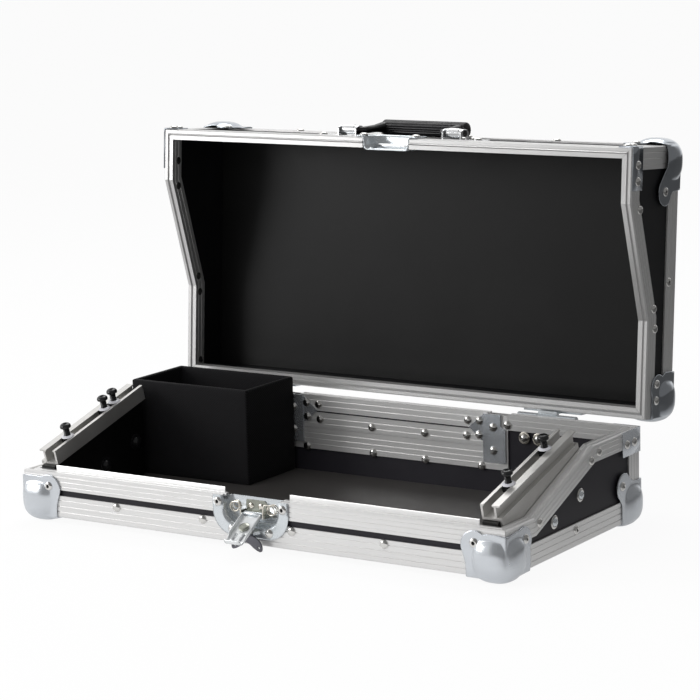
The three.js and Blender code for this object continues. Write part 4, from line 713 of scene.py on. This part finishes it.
FACE = -CORNER_FACE
DISH_RINGS = [(40.0, 6.4, 22.0, FACE), (38.5, 7.9, 20.9, FACE), (36.0, 10.4, 19.0, FACE),
              (33.5, 12.9, 17.6, FACE), (31.4, 14.6, 16.6, FACE), (30.2, 15.6, 15.8, FACE + 0.35),
              (29.4, 16.2, 15.3, FACE + 1.1), (29.0, 16.6, 15.0, FACE + 2.3),
              (28.6, 17.0, 14.7, 5.0), (28.3, 17.3, 14.4, 8.0), (27.9, 17.7, 14.0, 9.6),
              (27.0, 18.6, 13.2, 10.6), (25.4, 20.2, 12.0, 11.0)]
FLANGE_TOP, WELL_TOP, KEEPER_TOP = 41.6, 40.3, 42.3
CHUTE_HALF, CHUTE_LOW, CHUTE_RUN, CHUTE_DEPTH = 10.5, 7.5, 7.0, 1.1

dish_grid = pressed_dish(DISH_RINGS, FLANGE_TOP)
in_well = dish_grid[..., 1] > 0.5
dish_grid[in_well, 2] = np.minimum(dish_grid[in_well, 2], WELL_TOP)
# A shallow chute in the middle of the flange, where the arm hangs out
chute = np.exp(-(dish_grid[..., 0] / CHUTE_HALF) ** 4)
chute *= ease((dish_grid[..., 2] - CHUTE_LOW) / CHUTE_RUN)
dish_grid[..., 1] += CHUTE_DEPTH * chute * (dish_grid[..., 1] < 1)
piece("latch_pressed_dish", [net(dish_grid)], BRIGHT_ZINC, "base", ["latch_dish"],
      wall=1.1, facing=FRONT, sharp=50)

studs("latch_dish_rivets", HOLED_RIVET, on_wall(FACE, [(-34.6, 35.7), (34.2, 35.1)]),
      "base", HOLED, HOLE_FROM)
studs("latch_dish_domes", DOME_RIVET, on_wall(FACE, [(19.6, 12.4), (-19.6, 12.4)]))

ROLLER_Y, ROLLER_Z = 4.0, 26.4
lugs = [box_part((x, ROLLER_Y - 2.2, 23.6), (x + 1.3, 10.8, 29.2)) for x in (-13.5, 12.2)]
backing = box_part((-11.0, 8.4, 27.6), (11.0, 9.4, 38.4), 1.2)
lower_lip = box_part((-11.0, 7.2, 27.2), (11.0, 8.6, 28.6), 0.5)
piece("latch_spring_plate", lugs + [backing, lower_lip], OLIVE, "base")
BRASS_HEAD = [(2.9, 0.0), (2.8, 0.5), (2.0, 1.0), (1.2, 1.05), (0, 0.6)]
studs("spring_plate_rivets", BRASS_HEAD, on_wall(8.4, [(-5.3, 32.5), (5.3, 32.5)]),
      finishes=(BRASSY,))


COIL_X, COIL_Y, COIL_Z, COIL_RADIUS = 19.3, 1.4, 32.0, 4.4
COIL_PITCH, COIL_TURNS, WIRE = 2.9, 2.25, 0.62


def spring_path(side):
    """A straight leg beside the roller, a few turns drifting back, then a leg to the wall."""
    turn = np.linspace(0, COIL_TURNS, 64)
    angle = TAU / 4 - TAU * turn
    coil = spread(COIL_X + COIL_RADIUS * np.cos(angle), COIL_Y + COIL_PITCH * turn,
                  COIL_Z + COIL_RADIUS * np.sin(angle))
    rise = [(11.6, 1.0, 24.0), (12.0, 1.0, 31.0), (12.8, 1.1, 35.6), (15.6, 1.3, 36.7)]
    leg = smooth_path([*rise, coil[0]], 26)
    steps = np.array([(0, 0, 0), (-0.8, 0.4, -1.2), (-2.2, 1.2, -2.0), (-3.4, 2.0, -2.2)])
    back = smooth_path(coil[-1] + steps, 10)
    return np.concatenate((leg[:-1], coil, back[1:])) * (side, 1, 1)


for label, side in SIDES:
    wire = tube(spring_path(side), WIRE, 10, (0.02, 1, 0.03))
    piece(f"latch_coil_{label}", [wire], BRASSY, "base",
          [f"latch_spring_{label}"], sharp=80)

ARM_TURN = math.radians(121.8)
HUB_Y, HUB_Z = -4.4, 17.3
ARM_PROFILE = [(9, 3.4), (9, 2.4), (9, 1.3), (8.8, 0.6), (8.2, 0.1), (7.2, 0), (5.2, 0), (4.2, 0),
               (3.2, 0), (1.6, 0)]
WEB_SLOT_X, WEB_SLOT_HALF, WEB_SLOT_LOW, WEB_SLOT_HIGH = 4.0, 1.3, 24.0, 33.0


def across_case(profile, count, origin):
    """A turned part that lies across the case, its axis through an origin."""
    return framed(lathe(profile, count), origin, RIGHT, BACK)


def arm_place(part):
    """The arm is worked out standing straight up from its roller, then swung down and forwards."""
    points, quads = part
    return turn_x(points, ARM_TURN) + (0, ROLLER_Y, ROLLER_Z), quads


def channel_arm():
    """A folded channel: a profile across the arm with two cheeks, carried along it.

    The cheeks sink towards the tip by a smooth step, and two slots are left out of the web.
    """
    half = np.array(ARM_PROFILE)
    x, y = np.concatenate((half * (-1, 1), [(0, 0)], half[::-1])).T
    along = np.concatenate((np.linspace(2.2, 23.0, 12), np.linspace(24.0, 33.0, 10), [34.2]))
    along = along[:, None]
    sink = 1 - 0.75 * ease((along - 25) / 9)
    narrow = 1 - 0.08 * ease((along - 24) / 10)

    def outside_slots(m):
        beside = np.abs(np.abs(m[:, 0]) - WEB_SLOT_X) >= WEB_SLOT_HALF
        return beside | (m[:, 2] <= WEB_SLOT_LOW) | (m[:, 2] >= WEB_SLOT_HIGH)

    return masked(net(spread(x * narrow, y * sink, along)), outside_slots)


def tip_lip():
    """The web's end rolled up into a hook: a path in length and height, swept across."""
    path = np.array([(34.0, 0.0), (35.3, 0.0), (36.4, 0.25), (37.0, 1.0), (37.2, 2.4), (37.2, 5.0)])
    z, y = path.T[..., None]
    return net(spread(np.linspace(-8.2, 8.2, 9), y, z))


piece("latch_arm_channel", [arm_place(channel_arm()), arm_place(tip_lip())], ARM_STEEL, "latch_arm",
      ["latch_arm"], wall=1.2, facing=(0, -0.5, 0.85), sharp=45)
ROLLER = [(0, -10), (1.5, -10), (2.1, -9.8), (2.4, -9.3), (2.4, 9.3), (2.1, 9.8), (1.5, 10),
          (0, 10)]
HUB = [(0, -4.4), (4.0, -4.4), (4.2, -4.1), (4.2, 1.2), (4.9, 1.3), (4.9, 1.9), (4.3, 2.3),
       (1.0, 2.35), (0, 2.1)]
AXLE = [(0, -6.0), (1.4, -6.0), (1.6, -5.7), (1.6, 5.7), (1.4, 6.0), (0, 6.0)]
piece("latch_arm_roller", [arm_place(across_case(ROLLER, 24, (0, 0, 0)))], BRIGHT_ZINC, "latch_arm")
hub_parts = [framed(lathe(HUB, 28), (0, 0, HUB_Z), BACK), across_case(AXLE, 16, (0, HUB_Y, HUB_Z))]
piece("latch_arm_hub", [arm_place(p) for p in hub_parts], OLIVE, "latch_arm")

WING_AXLE = turn_x(np.array((0, HUB_Y, HUB_Z)), ARM_TURN) + (0, ROLLER_Y, ROLLER_Z)
WING_HALF, WING_ROWS = 16.2, 26
WING_UPPER = ((0, 4.6, 6.2, 10.0, 13.0, 15.2, WING_HALF),
              (-4.4, -3.4, -3.0, -4.8, -6.8, -9.6, -12.4))
WING_LOWER = ((0, 4.2, 7.4, 11.0, 14.2, 15.7, WING_HALF),
              (-9.4, -11.6, -14.0, -16.0, -17.0, -16.4, -14.6))
EAR_X, EAR_Z, EAR_HOLE, EAR_PULL = 12.9, -13.4, 1.1, 0.28


def wing_sheet():
    """A butterfly between an upper and a lower curve, both read from shared points on x.

    The grid runs across and down; quads inside either ear's hole are left out.
    """
    x = np.linspace(-WING_HALF, WING_HALF, 93)
    upper, lower = (np.interp(np.abs(x), *curve) for curve in (WING_UPPER, WING_LOWER))
    down = np.linspace(0, 1, WING_ROWS)[:, None]
    grid = spread(x, 0.0, upper + (lower - upper) * down)
    holes = [np.array((end * EAR_X, 0, EAR_Z)) for end in (-1, 1)]
    for hole in holes:
        away = grid - hole
        gap = np.linalg.norm(away, axis=-1)
        pull = np.abs(gap - EAR_HOLE) < EAR_PULL
        grid[pull] = hole + away[pull] / gap[pull][:, None] * EAR_HOLE

    def outside_holes(m):
        return np.all([np.linalg.norm(m - hole, axis=1) > 1.0 for hole in holes], axis=0)

    return masked(net(grid), outside_holes)


def wing_place(part):
    """The wing is worked out hanging from its axle, then carried to the axle's place."""
    points, quads = part
    return points + WING_AXLE, quads


EYE_RING = [(1.9, -0.7), (3.1, -0.7), (3.3, -0.5), (3.3, 0.5), (3.1, 0.7), (1.9, 0.7), (1.9, -0.7)]
eyes = [across_case(EYE_RING, 20, (end * 5.2, 0, 0)) for end in (-1, 1)]
piece("latch_wing_plate", [wing_place(wing_sheet())], DARK_STEEL, "latch_wing",
      ["latch_wing"], wall=1.5, facing=FRONT, sharp=45, even=False)
piece("latch_wing_eyes", [wing_place(p) for p in eyes], DARK_STEEL, "latch_wing")

KEEPER_RINGS = [(33.0, 74.0, 16.0, FACE), (31.6, 72.7, 15.0, FACE), (29.0, 70.6, 13.4, FACE),
                (26.4, 69.2, 11.8, FACE), (25.2, 68.3, 11.0, -1.1), (24.4, 67.8, 10.4, -0.2),
                (24.0, 67.4, 10.0, 1.2), (23.6, 67.0, 9.8, 6.0), (23.1, 66.5, 9.4, 9.0),
                (22.2, 65.6, 9.0, 10.5), (20.6, 64.0, 8.4, 11.0)]
piece("keeper_pressed_dish", [net(pressed_dish(KEEPER_RINGS, KEEPER_TOP))], BRIGHT_ZINC, "lid",
      ["latch_keeper"], wall=1.1, facing=FRONT, sharp=50)
strike_path = smooth_path([(-23.6, 8.8, 61.5), (-20.0, 8.4, 60.0), (-15.0, 8.2, 59.4),
                           (0, 8.2, 59.4),
                           (15.0, 8.2, 59.4), (20.0, 8.4, 60.0), (23.6, 8.8, 61.5)], 30)
piece("keeper_strike", [tube(strike_path, 1.8, 14)], CHROME, "lid", sharp=60)
studs("keeper_rivets", DOME_RIVET, on_wall(FACE, [(-28.5, 49.5), (28.5, 49.5)]), "lid")

# Handle
HANDLE_Y, HANDLE_Z, HANDLE_REACH = -5.3, 72.0, 38.0
BRACKET_X, CHEEK_OUT, CHEEK_IN, CHEEK_HALF, CHEEK_TIP = 57.5, 10.5, 8.9, 7.5, 4.2
FOOT_FACE, FOOT_BACK, FOOT_HALF, FOOT_REACH = -0.1, 1.5, 11, 33.5
FOOT_RIVETS = ((17.0, 5.5), (27.5, -5.5))
BARREL = [(0, -8.6), (3.4, -8.6), (4.1, -8.2), (4.1, -5.6), (4.6, -5.2), (4.6, 5.2), (4.1, 5.6),
          (4.1, 8.2), (3.4, 8.6), (0, 8.6)]


def cheek(x0, x1):
    """A plate across x; from the end it is straight at the foot, half an ellipse at the pivot."""
    angle = np.linspace(-TAU / 4, TAU / 4, 14)
    tip = arc((HANDLE_Y, HANDLE_Z), (-CHEEK_TIP, CHEEK_HALF), angle)
    outline = np.concatenate(([(1.0, HANDLE_Z - CHEEK_HALF)], tip, [(1.0, HANDLE_Z + CHEEK_HALF)]))
    points, quads = plate(outline, x0, x1, 0.35)
    return points[:, [1, 0, 2]], quads


for label, side in SIDES:
    centre = side * BRACKET_X
    cheeks = [cheek(*sorted((centre + end * CHEEK_OUT, centre + end * CHEEK_IN)))
              for end in (-1, 1)]
    low, high = sorted((centre - side * CHEEK_OUT, centre + side * FOOT_REACH))
    foot = box_part((low, FOOT_FACE, HANDLE_Z - FOOT_HALF),
                    (high, FOOT_BACK, HANDLE_Z + FOOT_HALF), 2.4)
    barrel = across_case(BARREL, 28, (centre, HANDLE_Y, HANDLE_Z))
    piece(f"handle_cheeks_{label}", cheeks + [foot], CHROME, "lid",
          [f"handle_bracket_{label}"])
    piece(f"handle_barrel_{label}", [barrel], CHROME, "handle")
    spots = [(centre + side * out, HANDLE_Z + up) for out, up in FOOT_RIVETS]
    studs(f"handle_foot_rivets_{label}", DOME_RIVET, on_wall(FOOT_FACE, spots),
          "lid")

GRIP_Y, GRIP_Z = -7.1, HANDLE_Z + HANDLE_REACH
ARM_SWELL = ((0, 0.36, 0.5, 0.7, 0.86, 1.0), (3.0, 3.0, 3.4, 3.7, 5.2, 6.6))
GRIP_HALF, GRIP_SHIFT, GRIP_RADIUS, GRIP_END = 47.0, 2.5, 7.6, 3.0
GRIP_RIBS, GRIP_SIDES, GROOVE_CUT = 18, 144, 0.75


def handle_arms():
    """Two moulded arms from the pivots to the grip: round tubes that swell into the grip's ends."""
    line = np.array([(68.5, 0, 0), (57.0, 0, 0), (46.5, 0, 0), (42.8, -0.1, 3.6),
                     (42.4, -0.8, 16.0), (42.0, GRIP_Y - HANDLE_Y, HANDLE_REACH - 8.0),
                     (41.0, GRIP_Y - HANDLE_Y, HANDLE_REACH - 1.0)]) + (0, HANDLE_Y, HANDLE_Z)
    swell = np.interp(np.linspace(0, 1, 46), *ARM_SWELL)
    return [tube(smooth_path(line * (side, 1, 1), 46), swell, 18) for _, side in SIDES]


def grip_sleeve():
    """A sleeve with fine lengthwise ribs: its radius is a base less a narrow groove at each rib.

    Both ends are rounded off by a flattened quarter ellipse; u runs along and v round.
    """
    end = np.linspace(0, TAU / 4, 9)
    flat = GRIP_HALF - GRIP_END
    ends_x = flat + GRIP_END * np.sin(end)
    ends_r = np.cos(end) ** 0.45
    x = np.concatenate((-ends_x[::-1], np.linspace(-flat, flat, 9)[1:-1], ends_x)) + GRIP_SHIFT
    r = np.concatenate((ends_r[::-1], np.ones(7), ends_r))[:, None]
    angle = np.arange(GRIP_SIDES) * TAU / GRIP_SIDES
    groove = GROOVE_CUT * (0.5 + 0.5 * np.cos(angle * GRIP_RIBS)) ** 3
    radius = r * GRIP_RADIUS - groove * ease((r - 0.5) / 0.4)
    y, z = GRIP_Y + radius * np.cos(angle), GRIP_Z + radius * np.sin(angle)
    return net(spread(x[:, None], y, z), round_v=True)


piece("handle_moulded_arms", handle_arms(), GRIP_BLACK, "handle", ["handle_rod"],
      sharp=60)
piece("handle_ribbed_grip", [grip_sleeve()], GRIP_BLACK, "handle", ["handle_grip"],
      sharp=60)

# Rack screws
RAIL_ANGLE = math.atan2(37.8, 135.8)
RAIL_UP = np.array((0, -math.sin(RAIL_ANGLE), math.cos(RAIL_ANGLE)))
RAIL_ALONG = np.array((0, math.cos(RAIL_ANGLE), math.sin(RAIL_ANGLE)))
SLOT_X, RAIL_START = 233.55, np.array((0, 10.0, 59.6))
SCREWS = {"left": (29.3, 88.4, 103.8), "right": (37.9, 104.2)}


def screw_profile():
    """Radius and height over the rail: a shank whose radius is a cosine of the height, as a
    thread's is, then a pan head with a driver well."""
    threads = np.arange(0, 9.4, 0.35)
    shank = np.stack((2.85 + 0.2 * np.cos(threads * TAU / 1.05), threads), -1)
    head = [(3.0, 9.5), (5.0, 9.5), (5.25, 9.9), (5.25, 10.8), (4.9, 11.9), (4.0, 12.8),
            (2.7, 13.3), (1.9, 13.35), (1.5, 12.0), (0, 11.8)]
    return np.concatenate(([(0, -1.9), (3.0, -1.9)], shank, head))


CUP_WASHER = [(3.05, 0.5), (3.05, 1.5), (3.6, 1.9), (4.2, 1.8), (5.3, 0.9), (6.0, 0.45), (6.1, 0.3),
              (5.7, 0.1), (4.0, 0.1), (3.05, 0.5)]
NUT_HALF = 4.6

for label, side in SIDES:
    for k, along in enumerate(SCREWS[label], 1):
        origin = RAIL_START + (side * SLOT_X, 0, 0) + along * RAIL_ALONG
        nut = box_part((-NUT_HALF, -NUT_HALF, -6.0), (NUT_HALF, NUT_HALF, -2.0), 0.6)
        shapes = (lathe(screw_profile(), 24), nut, lathe(CUP_WASHER, 28))
        parts = [framed(shape, origin, RAIL_UP) for shape in shapes]
        index = [np.full(len(quads), tone) for (_, quads), tone in zip(shapes, (0, 0, 1))]
        screw = f"rack_screw_{label}_{k}"
        piece(f"screw_{label}_{k}", parts, [BLACK_SCREW, CUP_WHITE], screw, [screw],
              index=index)

# Fabric box
BOX_LOW = np.array((-245.6, 154.2, 8.6))
BOX_HIGH = np.array((-110.0, 234.8, 100.4))
BOX_WALL, RIM_ROLL, INNERMOST, BOW = 5.0, 1.6, 39.0, 0.3


def rounded_ring(low, high, radius):
    """A rectangle's outline in x and y with quarter-round corners, evenly cut along the sides."""
    (x0, y0), (x1, y1) = low + radius, high - radius
    runs = []
    for quarter, corner in enumerate(((x1, y1), (x0, y1), (x0, y0), (x1, y0))):
        angle = np.linspace(0, TAU / 4, 6) + quarter * TAU / 4
        runs.append(arc(corner, (radius, radius), angle))
    line = []
    for k, run in enumerate(runs):
        start = runs[(k + 1) % 4][0]
        line += [run[:-1], np.linspace(run[-1], start, 14)[:-1]]
    return np.concatenate(line)


def cloth_box():
    """Rings of a lined box: up the outside, over a rolled rim, down the inside and to the middle.

    Each ring is a rounded rectangle set in by a margin at a level; the walls bow by under half a
    millimetre, as lining cloth over foam does.
    """
    wall, floor_low = BOX_WALL, BOX_LOW[2] + BOX_WALL
    stations = [(60.0, BOX_LOW[2]), (30.0, BOX_LOW[2]), (1.2, BOX_LOW[2]), (0.0, BOX_LOW[2] + 1.2)]
    stations += [(0.0, z) for z in np.linspace(BOX_LOW[2] + 8, BOX_HIGH[2] - 6, 10)]
    stations += [(0.5 * wall * (1 - math.cos(a)), BOX_HIGH[2] - RIM_ROLL + RIM_ROLL * math.sin(a))
                 for a in np.linspace(0, math.pi, 9)]
    stations += [(wall, z) for z in np.linspace(BOX_HIGH[2] - 6, BOX_LOW[2] + 9, 10)]
    stations += [(wall + 1.2, floor_low + 0.3)]
    stations += [(margin, floor_low) for margin in (wall + 3, 30.0, INNERMOST)]
    rings = []
    for margin, z in stations:
        margin = min(margin, INNERMOST)
        radius = max(2.2 - 0.25 * margin, 0.8)
        ring = rounded_ring(BOX_LOW[:2] + margin, BOX_HIGH[:2] - margin, radius)
        rings.append(spread(ring[:, 0], ring[:, 1], z))
    grid = np.stack(rings)
    ends = [np.broadcast_to(ring.mean(axis=0), ring.shape)[None] for ring in (rings[0], rings[-1])]
    grid = np.concatenate((ends[0], grid, ends[1]))
    height = (grid[..., 2] - BOX_LOW[2]) / (BOX_HIGH[2] - BOX_LOW[2])
    level = np.sin(math.pi * np.clip(height, 0, 1))
    wave = np.sin(grid[..., 0] * 0.047 + 0.6) * np.sin(grid[..., 1] * 0.071 + 1.1)
    middle = (BOX_LOW + BOX_HIGH) / 2
    for axis, from_middle in ((0, 55), (1, 30)):
        out = grid[..., axis] - middle[axis]
        grid[..., axis] += BOW * level * wave * np.sign(out) * (np.abs(out) > from_middle)
    return net(grid, round_v=True)


piece("accessory_box_lined", [cloth_box()], BOX_CLOTH, "base", ["accessory_box"],
      sharp=50)

# Thin corner braces
PLATE, BEND = 1.0, 1.2


def brace(side, low, high, end_y, end_reach, outward):
    """Thin plate round an upright edge: a leg on the side face, a bend, a leg on the end face."""
    (y0, z0), (y1, z1) = low, high
    x = side * (HALF_WIDTH + PLATE)
    near = end_y + outward * PLATE
    path = np.array([(x, y0 if outward > 0 else y1), (x, end_y - outward * BEND),
                     (x - side * 0.35, near - outward * 0.35), (x - side * BEND, near),
                     (side * (HALF_WIDTH - end_reach), near)])
    across, back = path.T[..., None]
    return net(spread(across, back, np.array((z0, z1))))


for label, side in SIDES:
    piece(f"base_rear_brace_{label}", [brace(side, (213.0, 60.5), (247.0, 83.2), DEPTH, 26.0, 1)],
          ZINC, "base", wall=PLATE, facing=(side, 1, 0), sharp=60)
    piece(f"lid_front_brace_{label}", [brace(side, (0.0, 42.6), (38.6, 61.5), 0.0, 14.0, -1)],
          SHADED_CHROME, "lid", wall=PLATE, facing=(side, -1, 0), sharp=60)
brace_base = on_sides([(220.4, 71.3), (234.6, 71.3)], PLATE)
brace_base += mirrored(on_wall(DEPTH + PLATE, [(HALF_WIDTH - 15.0, 71.3)], BACK))
brace_lid = on_sides([(16.0, 52.0), (30.5, 52.0)], PLATE)
brace_lid += mirrored(on_wall(-PLATE, [(HALF_WIDTH - 7.0, 47.5), (HALF_WIDTH - 7.0, 56.5)]))
studs("base_brace_rivets", DOME_RIVET, brace_base)
studs("lid_brace_rivets", DOME_RIVET, brace_lid, "lid")


# Gusset plates at the ends of the flap's slit
def gusset(side):
    """A thin kite in x and z: its apex at the slit's end, its base under the stop plate."""
    corners = np.array([(84.5, 68.5), (99.0, 81.0), (103.0, 81.0), (103.0, 56.5), (99.0, 56.5)])
    return plate(corners * (side, 1), GUSSET_FACE, GUSSET_FACE + 0.85, 0.25)


for label, side in SIDES:
    piece(f"hatch_gusset_{label}", [gusset(side)], ZINC, "base")

# Rivets of the stop plates and bolts of the hinges
STOP_FACE, LEAF_FACE = 235.1, DEPTH + 2.3
HINGE_BOLTS = (143.5, 158.0, 172.5)
stop_heads = mirrored(on_wall(STOP_FACE, [(111.6, 70.7), (111.6, 48.6)]))
studs("stop_plate_rivets", DOME_RIVET, stop_heads)
BRASS_BOLT = [(5.8, 0.0), (5.7, 0.6), (4.4, 0.9), (3.6, 0.8), (3.5, 1.6), (2.6, 2.6), (1.2, 3.0),
              (0, 3.05)]
hinge_out = mirrored(on_wall(LEAF_FACE, [(x, 56.5) for x in HINGE_BOLTS], BACK))
hinge_in = mirrored(on_wall(REAR_WALL, [(x, 63.3) for x in HINGE_BOLTS]))
lid_hinge_out = mirrored(on_wall(LEAF_FACE, [(x, 108.0) for x in (145.0, 160.0, 175.0)], BACK))
studs("base_hinge_rivets", DOME_RIVET, hinge_out)
studs("base_hinge_bolts", BRASS_BOLT, hinge_in, "base", (BRASSY, RIVET_METAL), 3, 20)
studs("lid_hinge_rivets", DOME_RIVET, lid_hinge_out, "lid")
flap_heads = on_wall(DEPTH, [(x, 60.0) for x in (-88.0, -30.0, 30.0, 88.0)], BACK)
studs("flap_rivets", DOME_RIVET, flap_heads, "cable_flap")

# Floor, light and camera
stage = bpy.context.scene
FLOOR_Z = -0.0004
PAPER, DIM_PAPER, GLOW_SHARE = (0.92, 0.92, 0.92), (0.02, 0.02, 0.02), 0.93


def floor_sheet():
    """A level sheet under the case, with only as many quads as its far edges need."""
    span = np.linspace(-9, 9, 7)
    return net(spread(span[:, None], span, FLOOR_Z))


def white_floor():
    """White paper that shines plainly white to the camera.

    What metal mirrors of it is bright near the case and dim to the right. A small share is left to
    the lamps, so that a soft shadow shows.
    """
    r = Recipe("white_paper", PAPER, 0.9)
    glow = r.add("ShaderNodeEmission", {"Color": (1, 1, 1, 1), "Strength": 1.0}).outputs["Emission"]
    path = r.add("ShaderNodeLightPath").outputs
    split = r.add("ShaderNodeSeparateXYZ", {"Vector": r.place})
    away = r.add("ShaderNodeVectorMath", {0: r.place, 1: (0.12, -0.25, 0.0)}, operation="DISTANCE")
    near = r.band(away.outputs["Value"], 0.25, 0.8, 1.0, 0.5)
    lit = r.maths("MULTIPLY", near, r.band(split.outputs["X"], 0.25, 0.42, 0.8, 0.10))
    glossy = path["Is Glossy Ray"]
    shine = r.maths("MULTIPLY", glossy, r.maths("MULTIPLY", lit, 0.6))
    dim = r.maths("MULTIPLY", glossy, r.maths("SUBTRACT", 1.0, lit))
    r.set("Base Color", r.blend(dim, PAPER, DIM_PAPER))
    seen = r.maths("MAXIMUM", path["Is Camera Ray"], path["Is Transmission Ray"])
    share = r.maths("MULTIPLY", r.maths("MAXIMUM", seen, shine), GLOW_SHARE)
    mix = r.add("ShaderNodeMixShader", {0: share, 1: r.shader.outputs["BSDF"], 2: glow})
    r.feed(r.nodes["Material Output"].inputs["Surface"], mix.outputs["Shader"])
    return r.material


points, quads = floor_sheet()
floor_mesh = bpy.data.meshes.new("floor")
floor_mesh.from_pydata(points, [], quads.tolist())
floor_mesh.materials.append(white_floor())
floor = bpy.data.objects.new("floor", floor_mesh)
stage.collection.objects.link(floor)


def studio_world():
    """White to the camera, with an even light that falls off to the right.

    What metal mirrors is a white backdrop behind and to the left, and a dim room in front and to
    the right.
    """
    world = bpy.data.worlds.new("studio")
    stage.world = world
    world.use_nodes = True
    w = Nodes(world.node_tree)
    place = w.add("ShaderNodeTexCoord").outputs["Generated"]
    split = w.add("ShaderNodeSeparateXYZ", {"Vector": place})

    def ramp(axis, *ends):
        return w.band(split.outputs[axis], *ends, interpolation_type="SMOOTHSTEP")

    path = w.add("ShaderNodeLightPath").outputs
    behind = w.maths("MULTIPLY", ramp("Y", -0.1, 0.45, 0.0, 1.05), ramp("X", -0.1, 0.5, 1.0, 0.12))
    room = w.maths("MAXIMUM", behind, ramp("X", -0.7, -0.2, 0.95, 0.2))
    even = ramp("X", 0.0, 0.7, 0.62, 0.22)
    shine = w.maths("MULTIPLY", path["Is Glossy Ray"], w.maths("SUBTRACT", room, even))
    level = w.maths("ADD", shine, even)
    for ray in ("Is Camera Ray", "Is Transmission Ray"):
        level = w.maths("MAXIMUM", level, path[ray])
    background = w.nodes["Background"].inputs
    w.feed(background["Color"], (1, 1, 1, 1))
    w.feed(background["Strength"], level)


studio_world()


def soft_lamp(name, place, aim, size, power, mirrored_in_metal=True):
    """A rectangular lamp at a place, turned so that its -z looks at the aim."""
    light = bpy.data.lights.new(name, "AREA")
    light.shape = "RECTANGLE"
    light.size, light.size_y = size
    light.energy = power
    lamp = bpy.data.objects.new(name, light)
    stage.collection.objects.link(lamp)
    lamp.location = place
    lamp.visible_glossy = mirrored_in_metal
    lamp.rotation_mode = "QUATERNION"
    lamp.rotation_quaternion = Vector(np.subtract(aim, place)).to_track_quat("-Z", "Y")


soft_lamp("key", (-1.6, -1.4, 0.78), (0, 0, 0.1), (1.1, 0.9), 15)
soft_lamp("fill", (-0.5, -2.2, 1.7), (0, 0, 0.1), (1.6, 1.2), 22, mirrored_in_metal=False)
soft_lamp("top", (-0.5, 0.9, 1.9), (0, -0.1, 0.05), (1.3, 0.9), 15)

YAW, PITCH, ROLL = (math.radians(a) for a in (32.901, 10.37, -1.429))
FOCAL_PIXELS, PICTURE = 2636.3, 700.0
EYE = row_base((1299.4, -1841.9, 584.0))

level_right = np.array((math.cos(YAW), math.sin(YAW), 0))
ahead = np.array((-math.sin(YAW) * math.cos(PITCH), math.cos(YAW) * math.cos(PITCH),
                  -math.sin(PITCH)))
level_up = np.cross(level_right, ahead)
right = math.cos(ROLL) * level_right + math.sin(ROLL) * level_up
up = -math.sin(ROLL) * level_right + math.cos(ROLL) * level_up
camera_data = bpy.data.cameras.new("camera")
camera_data.sensor_width = 36
camera_data.lens = FOCAL_PIXELS / PICTURE * 36
camera_data.clip_start, camera_data.clip_end = 0.1, 50
camera = bpy.data.objects.new("camera", camera_data)
stage.collection.objects.link(camera)
axes = np.stack((right, up, -ahead), 1)
camera.matrix_world = Matrix([[*row, place] for row, place in zip(axes, EYE)] + [[0, 0, 0, 1]])
stage.camera = camera
stage.view_settings.view_transform = "Standard"
